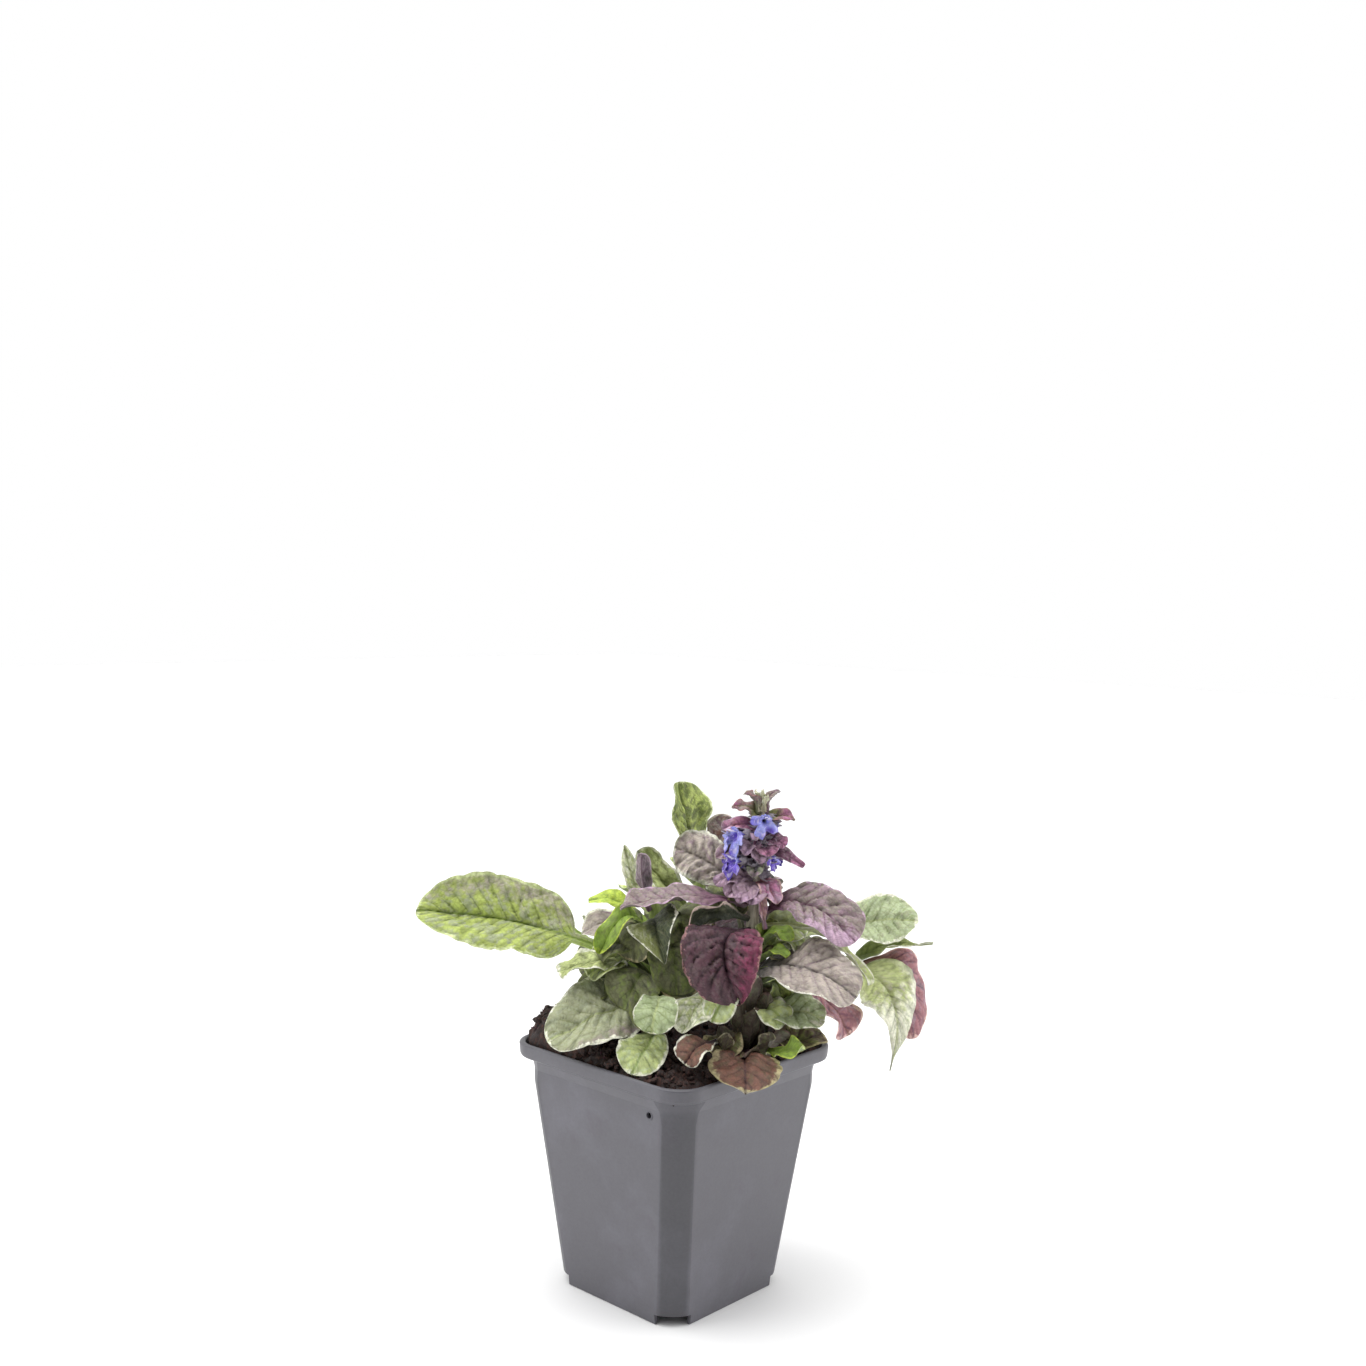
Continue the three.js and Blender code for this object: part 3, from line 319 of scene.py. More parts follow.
class LeafColours(bpy.types.PropertyGroup):
    lime: swatch("Lime", "#a8b560", "Sunlit yellow-green of the big leaves")
    bright: swatch("Bright green", "#7c9639", "Fresh green of the youngest leaves")
    yellow: swatch("Yellow-green", "#b4c64c", "Sunlit tips of the youngest leaves")
    spring: swatch("Spring green", "#b2bc7e", "Light yellowish green blade")
    sage: swatch("Sage", "#989b7e", "Grey-green blade")
    silver: swatch("Silver green", "#9ca287", "Greyish patches between the veins")
    pale: swatch("Pale green", "#acb792", "Chalky pale blade")
    mint: swatch("Mint", "#a0ad84", "Cool pale green")
    cream: swatch("Cream", "#e0e0cd", "Cream edge")
    butter: swatch("Butter", "#c6cf9c", "Yellowish edge")
    moss: swatch("Moss", "#86965c", "Veins of the pale leaves")
    olive: swatch("Olive", "#6f7642", "Olive veins and shaded blades")
    fern: swatch("Fern", "#6b793c", "Mid green of older leaves")
    deep: swatch("Deep green", "#666848", "Shaded green")
    forest: swatch("Forest", "#303822", "Darkest green")
    taupe: swatch("Taupe", "#b0a69b", "Grey-beige blade")
    stone: swatch("Stone", "#8a8178", "Grey-brown patches")
    slate: swatch("Slate", "#4c4a48", "Dark grey near the stalk")
    mauve: swatch("Mauve", "#917b85", "Greyed purple blade")
    lilac: swatch("Lilac", "#b79bb0", "Pale purple highlights")
    plum: swatch("Plum", "#6b4259", "Purple veins")
    burgundy: swatch("Burgundy", "#543740", "Dark wine-red blade")
    dusk: swatch("Dusk", "#5c4a4d", "Lighter pads of the wine-red blades")
    # Magenta is partly painted light: it flushes the lit half of the big burgundy leaf.
    magenta: swatch("Magenta", "#72304a", "Red-purple flush of the sunlit side")
    wine: swatch("Wine", "#321a26", "Nearly black red")
    rose: swatch("Rose", "#9e6f72", "Dusty pink blade")
    blush: swatch("Blush", "#d8b5ae", "Pale pink edge")
    brick: swatch("Brick", "#724f42", "Red-brown blade")
    umber: swatch("Umber", "#43302a", "Dark brown near the stalk")
    orchid: swatch("Orchid", "#a86e8c", "Pink ends of the bracts")
    petal_grey: swatch("Petal grey", "#a58d98", "Pale greyish pink of the lowest bracts")
    walnut: swatch("Walnut", "#5b4c3b", "Brown of old leaf bases")
    tan: swatch("Tan", "#aea27c", "Straw-coloured edge")


class SpikeColours(bpy.types.PropertyGroup):
    petal: swatch("Petal", "#6148b8", "Blue-violet petals")
    light: swatch("Petal light", "#989de2", "Sky-blue places on the petals")
    throat: swatch("Petal lines", "#d2c8f0", "Pale lines and edges of the petals")
    calyx: swatch("Calyx", "#9a929c", "Grey-blue cups that hold the flowers")
    stamen: swatch("Stamens", "#e6e2f2", "White threads of the flowers")
    bark: swatch("Shoot", "#5f4a3c", "Purple-brown bark of the shoots")
    green: swatch("Young shoot", "#7f8f4a", "Green upper part of the shoots")
    stalk: swatch("Flower stalk", "#c4bda9", "Greyish pink stalk of the flower spike")


class StageSettings(bpy.types.PropertyGroup):
    floor: swatch("Floor", "#fbfbfb", "Plain pale floor")
    light: share("Light", 1.0, "Brightness of the studio lights", 4.0)


SETTINGS = {
    "bugleweed_pot": PotSettings,
    "bugleweed_peat": PeatSettings,
    "bugleweed_leaf": LeafSettings,
    "bugleweed_leaf_colours": LeafColours,
    "bugleweed_spike_colours": SpikeColours,
    "bugleweed_stage": StageSettings,
}

# The finish of each leaf: blade, patches between the veins, edge, veins, the flush that spreads over part of the
# blade, and stalk; then how much the patches take and how wide the edge is. On the big burgundy leaf the flush is
# partly painted light, and on the crinkled grey and shaded hanging leaves it is painted shade.
LEAF_FINISHES = {
    "lime_silver": ("lime", "silver", "butter", "fern", "taupe", "bright", 0.5, 0.08),
    "silver_sage": ("sage", "silver", "cream", "olive", "mauve", "spring", 0.5, 0.06),
    "pale_sage": ("pale", "sage", "cream", "moss", "spring", "spring", 0.4, 0.08),
    "pale_tail": ("spring", "taupe", "cream", "sage", "cream", "spring", 0.5, 0.18),
    "silver_bract": ("silver", "mauve", "silver", "slate", "mauve", "slate", 0.5, 0.10),
    "mint_green": ("mint", "pale", "cream", "fern", "taupe", "spring", 0.5, 0.06),
    "spring_sage": ("spring", "pale", "cream", "moss", "cream", "bright", 0.5, 0.12),
    "fresh_sage": ("cream", "spring", "cream", "fern", "sage", "spring", 0.6, 0.16),
    "young_lime": ("bright", "fern", "yellow", "fern", "lime", "bright", 0.4, 0.10),
    "yellow_lime": ("yellow", "bright", "yellow", "bright", "lime", "bright", 0.3, 0.10),
    "wavy_olive": ("spring", "olive", "cream", "olive", "fern", "fern", 0.5, 0.14),
    "shaded_green": ("deep", "fern", "olive", "forest", "forest", "fern", 0.4, 0.06),
    # The forest flush of this finish is painted shade on one half of the shaded hanging leaf.
    "shaded_olive": ("olive", "sage", "cream", "deep", "forest", "forest", 0.4, 0.07),
    "margined_green": ("forest", "deep", "blush", "forest", "deep", "forest", 0.4, 0.16),
    "deep_olive": ("deep", "olive", "tan", "forest", "wine", "deep", 0.4, 0.12),
    "fresh_olive": ("fern", "lime", "butter", "deep", "umber", "fern", 0.65, 0.08),
    "brown_grey": ("stone", "brick", "taupe", "plum", "mauve", "plum", 0.5, 0.10),
    "long_mauve": ("stone", "mauve", "lilac", "plum", "stone", "plum", 0.5, 0.08),
    "slate_mauve": ("mauve", "slate", "lilac", "plum", "plum", "plum", 0.5, 0.10),
    "quilted_mauve": ("stone", "mauve", "lilac", "plum", "lilac", "plum", 0.5, 0.05),
    "crinkled_mauve": ("taupe", "mauve", "cream", "stone", "stone", "stone", 0.3, 0.12),
    # The slate flush of this finish is painted shade near the stalk of the crinkled grey leaf.
    "crinkled_grey": ("taupe", "stone", "cream", "mauve", "slate", "slate", 0.3, 0.03),
    # The magenta flush of this finish is partly painted light on the lit half of the big burgundy leaf.
    "burgundy": ("burgundy", "dusk", "rose", "wine", "magenta", "wine", 0.5, 0.03),
    "rose": ("rose", "mauve", "blush", "plum", "brick", "brick", 0.4, 0.10),
    "red_brown": ("brick", "walnut", "tan", "umber", "wine", "wine", 0.5, 0.13),
    "brown_spoon": ("brick", "walnut", "cream", "umber", "wine", "wine", 0.5, 0.12),
    "brown_olive": ("walnut", "olive", "tan", "umber", "umber", "umber", 0.5, 0.14),
    "dark_base": ("walnut", "deep", "brick", "umber", "umber", "umber", 0.5, 0.06),
    "grey_bract": ("petal_grey", "mauve", "lilac", "plum", "lilac", "mauve", 0.5, 0.10),
    "pink_bract": ("orchid", "mauve", "blush", "plum", "lilac", "rose", 0.5, 0.12),
    "purple_bract": ("plum", "mauve", "lilac", "wine", "orchid", "plum", 0.5, 0.05),
    "magenta_bract": ("orchid", "rose", "lilac", "plum", "lilac", "plum", 0.5, 0.12),
    "blush_bract": ("blush", "orchid", "lilac", "rose", "lilac", "rose", 0.5, 0.12),
    "tuft_bract": ("stone", "rose", "rose", "plum", "orchid", "olive", 0.5, 0.16),
    "olive_bract": ("olive", "tan", "rose", "plum", "orchid", "olive", 0.4, 0.16),
    "tip_bract": ("butter", "tan", "cream", "tan", "butter", "tan", 0.4, 0.16),
}


# Options of nodes that mix colours, ease a value in and out, or multiply and add.
MIXED = {"out": 2, "data_type": "RGBA"}
EASED = {"interpolation_type": "SMOOTHSTEP"}
TIMES_PLUS = {"operation": "MULTIPLY_ADD"}
# Refraction of the watery tissue under a plant's skin, and of moulded polypropylene.
LEAF_IOR = 1.42
PLASTIC_IOR = 1.49


def add_node(tree, kind, inputs=None, out=0, **settings):
    """Adds a node, sets its options, and links or sets its inputs. Returns the output it is used by."""
    node = tree.nodes.new("ShaderNode" + kind)
    for key, value in settings.items():
        setattr(node, key, value)
    for key, value in (inputs or {}).items():
        if isinstance(value, bpy.types.NodeSocket):
            tree.links.new(value, node.inputs[key])
        else:
            node.inputs[key].default_value = value
    return node.outputs[out] if node.outputs else None


def new_material(name):
    """An empty node material, and the function that adds a node to it."""
    material = bpy.data.materials.new(name)
    material.use_nodes = True
    material.node_tree.nodes.clear()
    return material, partial(add_node, material.node_tree)


def kept_numbers(add, name):
    """The three numbers that a mesh keeps on its corners under a name."""
    return add("SeparateXYZ", {0: add("Attribute", out=1, attribute_name=name)}).node.outputs


def varied(add, colour, value, low, high, start=0.3, end=0.7):
    """A colour made darker and lighter by a value, such as a noise, that runs from start to end."""
    tone = add("MapRange", {"Value": value, "From Min": start, "From Max": end, "To Min": low, "To Max": high})
    return add("HueSaturation", {"Color": colour, "Value": tone})


def end_material(add, skin, height, strength, depth):
    """Ends a material in a shader with these inputs, whose surface swells with a height up to a
    depth in millimetres."""
    normal = add("Bump", {"Height": height, "Strength": strength, "Distance": depth * MM})
    add("OutputMaterial", {"Surface": add("BsdfPrincipled", skin | {"Normal": normal})})


def leaf_tissue(finish, back=False):
    """Living leaf, thin and juicy under a waxy skin. Side veins split the blade into puffed pads;
    where green tissue is thin the pad turns silver, and a ragged band without green runs round
    the edge. That gives patches a few millimetres wide, dark sunken veins and a soft satin gloss.
    The pattern follows the blade: 'run' holds the place along the rib, the place across the blade
    and the side veins counted from the stalk; 'mood' holds the leaf's own number, its flush and
    the millimetres from the rib; 'swell' holds how high the pads and creases stand."""
    name = f"leaf_{finish}_{'underside' if back else 'blade'}"
    if name in bpy.data.materials:
        return bpy.data.materials[name]
    material, add = new_material(name)
    palette = bpy.context.scene.bugleweed_leaf_colours
    blade, patch, edge, vein, flush, stalk = [
        (*getattr(palette, key), 1) for key in LEAF_FINISHES[finish][:6]]
    cover, edge_width = LEAF_FINISHES[finish][6:]

    place = add("TexCoord", out=3)
    along, across, count = kept_numbers(add, "run")
    seed, drift, from_rib = kept_numbers(add, "mood")
    pad_top, crease_top, quilted = kept_numbers(add, "swell")
    outward = add("Math", {0: across}, operation="ABSOLUTE")

    # Pads about a vein's spacing long and a third of the half-width across, with noise at 3 mm.
    stretched = add("Math", {0: across, 1: 2.6}, operation="MULTIPLY")
    pads_at = add("CombineXYZ", {0: count, 1: stretched, 2: seed})
    pads = add("TexNoise", {"Vector": pads_at, "Scale": 1.5, "Detail": 4.0, "Distortion": 0.8})
    mottle = add("TexNoise", {"Vector": place, "Scale": 330.0, "Detail": 4.0, "Roughness": 0.6})
    grain = add("TexNoise", {"Vector": place, "Scale": 1400.0, "Detail": 2.0})
    ragged = add("Math", {0: mottle, 1: 0.5}, operation="SUBTRACT")
    pad_value = add("Math", {0: ragged, 1: 0.6, 2: pads}, **TIMES_PLUS)
    start = 0.66 - 0.3 * cover
    patched = add("MapRange", {"Value": pad_value, "From Min": start - 0.08, "From Max": start + 0.16,
                               "To Max": 0.85}, **EASED)

    # Side veins are thin and dark where the count is whole, and fade toward the edge. The midrib
    # has the stalk's colour, and a net of finer veins has meshes of 2 mm.
    near_vein = add("Math", {0: count, 1: 0.5}, operation="PINGPONG")
    from_vein = add("Math", {0: ragged, 1: 0.5, 2: near_vein}, **TIMES_PLUS)
    fading = add("MapRange", {"Value": outward, "From Min": 0.2, "From Max": 0.95, "To Min": 0.6, "To Max": 0.1})
    veined = add("MapRange", {"Value": from_vein, "From Max": 0.12, "To Min": fading, "To Max": 0.0}, **EASED)
    ribbed = add("MapRange", {"Value": from_rib, "From Min": 0.2, "From Max": 0.7,
                              "To Min": 0.5, "To Max": 0.0}, **EASED)
    net = add("TexVoronoi", {"Vector": place, "Scale": 520.0}, feature="DISTANCE_TO_EDGE")
    netted = add("MapRange", {"Value": net, "From Max": 0.2, "To Min": 0.3, "To Max": 0.0})

    # The pale edge is wide where the noise lets it in, and closes round the tip.
    tipward = add("MapRange", {"Value": along, "From Min": 0.8})
    outmost = add("Math", {0: outward, 1: tipward}, operation="MAXIMUM")
    edge_value = add("Math", {0: ragged, 1: 0.5, 2: outmost}, **TIMES_PLUS)
    edged = add("MapRange", {"Value": edge_value, "From Min": 1 - 1.5 * edge_width,
                             "From Max": 1 - 0.6 * edge_width}, **EASED)
    # This mask lays the flush: the leaf's own tint on most leaves; on the big burgundy leaf it is partly painted
    # light, and on the crinkled grey and shaded hanging leaves it is painted shade.
    flush_value = add("Math", {0: ragged, 1: 1.4, 2: drift}, **TIMES_PLUS)
    flush_and_painted_light = add("MapRange", {"Value": flush_value, "From Min": 0.1, "From Max": 0.7}, **EASED)
    stalkward = add("MapRange", {"Value": along, "From Min": 0.2, "From Max": 0.5,
                                 "To Min": 0.85, "To Max": 0.0}, **EASED)
    colour = blade
    for amount, tint in ((patched, patch), (flush_and_painted_light, flush), (edged, edge), (netted, vein), (veined, vein),
                         (ribbed, stalk), (stalkward, stalk)):
        colour = add("Mix", {0: amount, 6: colour, 7: tint}, **MIXED)

    # Painted light and shade: the raised pads are painted paler and the grooves darker, more so on a quilted
    # blade. On the underside the painted highlight is weaker and the colour less saturated.
    bumps = add("Math", {0: pad_top, 1: 0.5, 2: crease_top}, **TIMES_PLUS)
    height = add("Math", {0: bumps, 1: 0.9, 2: ragged}, **TIMES_PLUS)
    painted_groove_shade = add("MapRange", {"Value": quilted, "From Max": 1.2, "To Min": 0.86, "To Max": 0.5})
    painted_pad_highlight, saturation = (1.05, 0.75) if back else (1.3, 1.0)
    tone = add("MapRange", {"Value": height, "From Min": 0.1, "From Max": 1.15,
                            "To Min": painted_groove_shade, "To Max": painted_pad_highlight})
    colour = add("HueSaturation", {"Color": colour, "Value": tone, "Saturation": saturation})

    sunken = add("Math", {0: veined, 1: -0.6, 2: grain}, **TIMES_PLUS)
    rough = add("Math", {0: mottle, 1: 2.5, 2: sunken}, **TIMES_PLUS)
    relief = add("Math", {0: netted, 1: -0.8, 2: rough}, **TIMES_PLUS)
    satin = add("MapRange", {"Value": mottle, "From Min": 0.3, "From Max": 0.7, "To Min": 0.46, "To Max": 0.64})
    end_material(add, {
        "Base Color": colour, "Roughness": satin, "IOR": LEAF_IOR, "Subsurface Weight": 0.12,
        "Subsurface Radius": (0.6, 0.8, 0.25), "Subsurface Scale": 1.2 * MM}, relief, 0.55, 0.4)
    return material


def moulded_plastic():
    """Recycled polypropylene, injection moulded: matt grey with a faint flow mottle, an orange-peel skin finer
    than a millimetre, smudges of peat and rubbed pale places. Its corners carry painted shade, darkest on the body
    below the flare under the rim."""
    material, add = new_material("recycled_polypropylene_moulded")
    colours = bpy.context.scene.bugleweed_pot
    place = add("TexCoord", out=3)
    flow = add("TexNoise", {"Vector": place, "Scale": 28.0, "Detail": 4.0, "Roughness": 0.6})
    speck = add("TexNoise", {"Vector": place, "Scale": 900.0, "Detail": 3.0, "Roughness": 0.7})
    stain = add("TexNoise", {"Vector": place, "Scale": 60.0, "Detail": 6.0, "Roughness": 0.65, "Distortion": 0.4})
    rubbed = add("MapRange", {"Value": flow, "From Min": 0.45, "From Max": 0.75, "To Max": 0.3}, **EASED)
    smudged = add("MapRange", {"Value": stain, "From Min": 0.56, "From Max": 0.72, "To Max": 0.4}, **EASED)
    colour = add("Mix", {0: rubbed, 6: (*colours.plastic, 1), 7: (*colours.scuff, 1)}, **MIXED)
    colour = add("Mix", {0: smudged, 6: colour, 7: (*colours.smudge, 1)}, **MIXED)

    # A corner is where x and y are nearly as far out; painted shade darkens it, most on the body below the flare
    # under the rim.
    x, y, z = add("SeparateXYZ", {0: place}).node.outputs
    x, y = [add("Math", {0: side}, operation="ABSOLUTE") for side in (x, y)]
    less, more = [add("Math", {0: x, 1: y}, operation=choice) for choice in ("MINIMUM", "MAXIMUM")]
    corner = add("Math", {0: less, 1: more}, operation="DIVIDE")
    painted_shade_below_rim = add("MapRange", {"Value": z, "From Min": 76 * MM, "From Max": 87 * MM,
                                 "To Min": 0.62, "To Max": 0.86}, **EASED)
    painted_corner_shade = add("MapRange", {"Value": corner, "From Min": 0.74, "From Max": 0.82,
                                 "To Min": 1.0, "To Max": painted_shade_below_rim}, **EASED)
    tone = add("MapRange", {"Value": speck, "From Min": 0.3, "From Max": 0.7, "To Min": 0.92, "To Max": 1.04})
    # The speckled tone is multiplied by the painted corner shade.
    tone = add("Math", {0: tone, 1: painted_corner_shade}, operation="MULTIPLY")
    colour = add("HueSaturation", {"Color": colour, "Value": tone})
    sheen = add("MapRange", {"Value": flow, "From Min": 0.3, "From Max": 0.7, "To Min": 0.4, "To Max": 0.52})
    end_material(add, {"Base Color": colour, "Roughness": sheen, "IOR": PLASTIC_IOR}, speck, 0.25, 0.1)
    return material


def damp_peat(name, dark, light, grit):
    """Damp peat with bark: dark crumbs with drier, redder tops. Rough all over, with a little wet
    glint in the hollows. Grit is the size of its crumbs in millimetres."""
    material, add = new_material(name)
    place = add("TexCoord", out=3)
    crumb = add("TexNoise", {"Vector": place, "Scale": 1000 / grit, "Detail": 5.0, "Roughness": 0.65})
    fleck = add("TexVoronoi", {"Vector": place, "Scale": 1600 / grit})
    dry = add("MapRange", {"Value": crumb, "From Min": 0.42, "From Max": 0.66}, **EASED)
    colour = add("Mix", {0: dry, 6: (*dark, 1), 7: (*light, 1)}, **MIXED)
    colour = varied(add, colour, fleck, 0.7, 1.3, 0.0, 0.6)
    damp = add("MapRange", {"Value": crumb, "From Min": 0.35, "From Max": 0.6, "To Min": 0.62, "To Max": 0.95})
    end_material(add, {"Base Color": colour, "Roughness": damp}, crumb, 0.8, 0.8)
    return material


def green_bark(name, low, high, turns_at):
    """The skin of a herb's shoot: purple-brown and fluted below, greener toward its top, with
    fine lines along it 0.5 mm apart and a faint waxy gloss. turns_at is the height in metres."""
    material, add = new_material(name)
    place = add("TexCoord", out=3)
    lines_at = add("Mapping", {"Vector": place, "Scale": (1.0, 1.0, 0.12)})
    lines = add("TexNoise", {"Vector": lines_at, "Scale": 1500.0, "Detail": 3.0})
    blotch = add("TexNoise", {"Vector": place, "Scale": 260.0, "Detail": 3.0})
    height = add("SeparateXYZ", {0: place}, out=2)
    uneven = add("Math", {0: blotch, 1: 20 * MM, 2: height}, **TIMES_PLUS)
    young = add("MapRange", {"Value": uneven, "From Min": turns_at - 8 * MM,
                             "From Max": turns_at + 20 * MM}, **EASED)
    colour = add("Mix", {0: young, 6: (*low, 1), 7: (*high, 1)}, **MIXED)
    colour = varied(add, colour, lines, 0.75, 1.2)
    end_material(add, {"Base Color": colour, "Roughness": 0.55, "IOR": LEAF_IOR}, lines, 0.5, 0.3)
    return material


def petal_tissue():
    """Petal: one cell thick, velvety, full of blue sap. Its colour pools between pale lines 0.6 mm
    apart that run out along the lobes, light shines a little way through, and the older flowers
    lower down are more violet."""
    material, add = new_material("petal_velvety")
    colours = bpy.context.scene.bugleweed_spike_colours
    place = add("TexCoord", out=3)
    along, around, _ = kept_numbers(add, "run")
    lines_at = add("CombineXYZ", {0: around, 1: along})
    lines = add("TexNoise", {"Vector": lines_at, "Scale": 9.0, "Detail": 2.0, "Distortion": 0.2})
    blotch = add("TexNoise", {"Vector": place, "Scale": 420.0, "Detail": 3.0})
    pale = add("MapRange", {"Value": lines, "From Min": 0.5, "From Max": 0.68, "To Max": 0.75}, **EASED)
    faded = add("TexNoise", {"Vector": place, "Scale": 150.0, "Detail": 2.0})
    height = add("SeparateXYZ", {0: place}, out=2)
    younger = add("Math", {0: height, 1: 18.0, 2: faded}, **TIMES_PLUS)
    sky = add("MapRange", {"Value": younger, "From Min": 3.5, "From Max": 3.74}, **EASED)
    colour = add("Mix", {0: sky, 6: (*colours.petal, 1), 7: (*colours.light, 1)}, **MIXED)
    colour = add("Mix", {0: pale, 6: colour, 7: (*colours.throat, 1)}, **MIXED)
    colour = varied(add, colour, blotch, 0.7, 1.25)
    end_material(add, {
        "Base Color": colour, "Roughness": 0.6, "Sheen Weight": 0.3, "Sheen Roughness": 0.4,
        "Subsurface Weight": 0.2, "Subsurface Radius": (0.3, 0.2, 0.9), "Subsurface Scale": MM}, lines, 0.3, 0.2)
    return material


def plain_tissue(name, colour, roughness, cell, spread):
    """Small plant parts, such as a calyx or a stamen: one colour that varies from cell to cell.
    The size of a cell is in millimetres."""
    material, add = new_material(name)
    grain = add("TexNoise", {"Vector": add("TexCoord", out=3), "Scale": 1000 / cell, "Detail": 3.0})
    colour = varied(add, (*colour, 1), grain, 1 - spread, 1 + spread)
    end_material(add, {"Base Color": colour, "Roughness": roughness}, grain, 0.4, 0.2)
    return material


def to_row(points):
    """Points of the plant's own frame in the frame that the CAD and the scene share."""
    turn = np.array([[math.cos(PLANT_TURN), -math.sin(PLANT_TURN), 0],
                     [math.sin(PLANT_TURN), math.cos(PLANT_TURN), 0], [0, 0, 1]])
    return np.asarray(points, float) @ turn.T


def unit(vectors):
    """Vectors of the same directions and a length of 1."""
    return vectors / np.linalg.norm(vectors, axis=-1, keepdims=True)


def shoot_at(name, z):
    """The middle of a shoot and its radius at a height."""
    foot, top, foot_radius, top_radius = SHOOTS[name]
    s = (z - foot[2]) / (top[2] - foot[2])
    middle = np.array(foot, float) * (1 - s) + np.array(top, float) * s
    return middle, foot_radius * (1 - s) + top_radius * s


def node_of(shoot):
    """The CAD node of a shoot that a leaf names."""
    return "flower_stem" if shoot == "flowering" else f"{shoot}_shoot"


def bearing(heading, rise):
    """The direction of a heading and a rise, both in degrees."""
    h, r = math.radians(heading), math.radians(rise)
    return np.array([math.cos(r) * math.cos(h), math.cos(r) * math.sin(h), math.sin(r)])


def finish_piece(piece, replaces, materials=()):
    """Gives a finished mesh its materials and its place in the part."""
    for material in materials:
        piece.data.materials.append(material)
    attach(piece, "root")
    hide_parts(*replaces)
    return piece


def select_only(*pieces):
    """Selects these pieces and nothing else, and makes the first the active one."""
    bpy.ops.object.select_all(action="DESELECT")
    for piece in pieces:
        piece.select_set(True)
    if pieces:
        bpy.context.view_layer.objects.active = pieces[0]


def close_edit():
    """Merges the corners that meet, turns every face outward and leaves edit mode."""
    bpy.ops.mesh.select_all(action="SELECT")
    bpy.ops.mesh.remove_doubles(threshold=0.002 * MM)
    bpy.ops.mesh.normals_make_consistent(inside=False)
    bpy.ops.object.mode_set(mode="OBJECT")


def shaped_grid(name, rows, columns, formula):
    """A grid primitive whose corners a formula puts in place. The formula gets x and y from 0 to 1
    and gives points in millimetres and vectors to keep on them; the upper half of y may be a
    second material's. Corners that meet are merged."""
    select_only()
    bpy.ops.mesh.primitive_grid_add(x_subdivisions=rows, y_subdivisions=columns, size=1)
    piece = bpy.context.object
    mesh = piece.data
    piece.name = mesh.name = name
    flat = np.empty(len(mesh.vertices) * 3)
    mesh.vertices.foreach_get("co", flat)
    x, y = np.clip(flat.reshape(-1, 3)[:, :2].T + 0.5, 0, 1)
    points, kept = formula(x, y)
    centres = np.empty(len(mesh.polygons) * 3)
    mesh.polygons.foreach_get("center", centres)
    mesh.polygons.foreach_set("material_index", (centres.reshape(-1, 3)[:, 1] > 0).astype(np.int32))
    mesh.vertices.foreach_set("co", (points * MM).ravel())
    for key, values in kept.items():
        mesh.attributes.new(key, "FLOAT_VECTOR", "POINT").data.foreach_set("vector", values.ravel())
    mesh.update()
    bpy.ops.object.mode_set(mode="EDIT")
    close_edit()
    return piece


def one_material(piece):
    """Gives both halves of a shaped grid the first material."""
    piece.data.polygons.foreach_set("material_index", np.zeros(len(piece.data.polygons), np.int32))


def lofted(name, rings):
    """A closed skin raised from a filled circle, ring by ring; rings are of equal length."""
    select_only()
    bpy.ops.mesh.primitive_circle_add(vertices=len(rings[0]), radius=0.01, fill_type="NGON")
    piece = bpy.context.object
    piece.name = piece.data.name = name
    bpy.ops.object.mode_set(mode="EDIT")
    edit = bmesh.from_edit_mesh(piece.data)
    edit.verts.ensure_lookup_table()
    course = sorted(range(len(edit.verts)), key=lambda k: math.atan2(edit.verts[k].co.y, edit.verts[k].co.x))
    course = course[len(course) // 2:] + course[:len(course) // 2]
    for k, point in zip(course, rings[0]):
        edit.verts[k].co = Vector(point) * MM
    for ring in rings[1:]:
        bpy.ops.mesh.extrude_region_move(TRANSFORM_OT_translate={"value": (0, 0, 0.0001)})
        edit = bmesh.from_edit_mesh(piece.data)
        edit.verts.ensure_lookup_table()
        raised = []
        for k in course:
            below = edit.verts[k]
            above = [side.other_vert(below) for side in below.link_edges]
            raised.append(next(corner.index for corner in above if corner.select))
        for k, point in zip(raised, ring):
            edit.verts[k].co = Vector(point) * MM
        course = raised
    bmesh.update_edit_mesh(piece.data)
    close_edit()
    return piece


def joined(name, pieces):
    """One piece of several, each of which has its own mesh."""
    select_only(*pieces)
    if len(pieces) > 1:
        bpy.ops.object.join()
    pieces[0].name = pieces[0].data.name = name
    return pieces[0]


def copied(model, matrix):
    """A copy of a modelled piece with its own mesh, moved by a matrix."""
    copy = bpy.data.objects.new(model.name, model.data.copy())
    copy.data.transform(matrix)
    bpy.context.collection.objects.link(copy)
    return copy


def smooth(piece, degrees):
    """Smooth shading, with edges kept crisp where the faces turn more than this."""
    select_only(piece)
    bpy.ops.object.shade_smooth_by_angle(angle=math.radians(degrees))


def apply_modifier(piece, kind, **settings):
    """Adds a modifier with these settings and applies it."""
    bpy.context.view_layer.objects.active = piece
    modifier = piece.modifiers.new(kind.title(), kind)
    for key, value in settings.items():
        setattr(modifier, key, value)
    bpy.ops.object.modifier_apply(modifier=modifier.name)


# Where a leaf's skin starts, clear of its shoot's bark; how far its stalk runs on into the shoot;
# and the distance between the scallops of its edge.
SEAT_GAP = 0.6
STALK_HOLD = 1.4
TOOTH_SPACING = 5.5


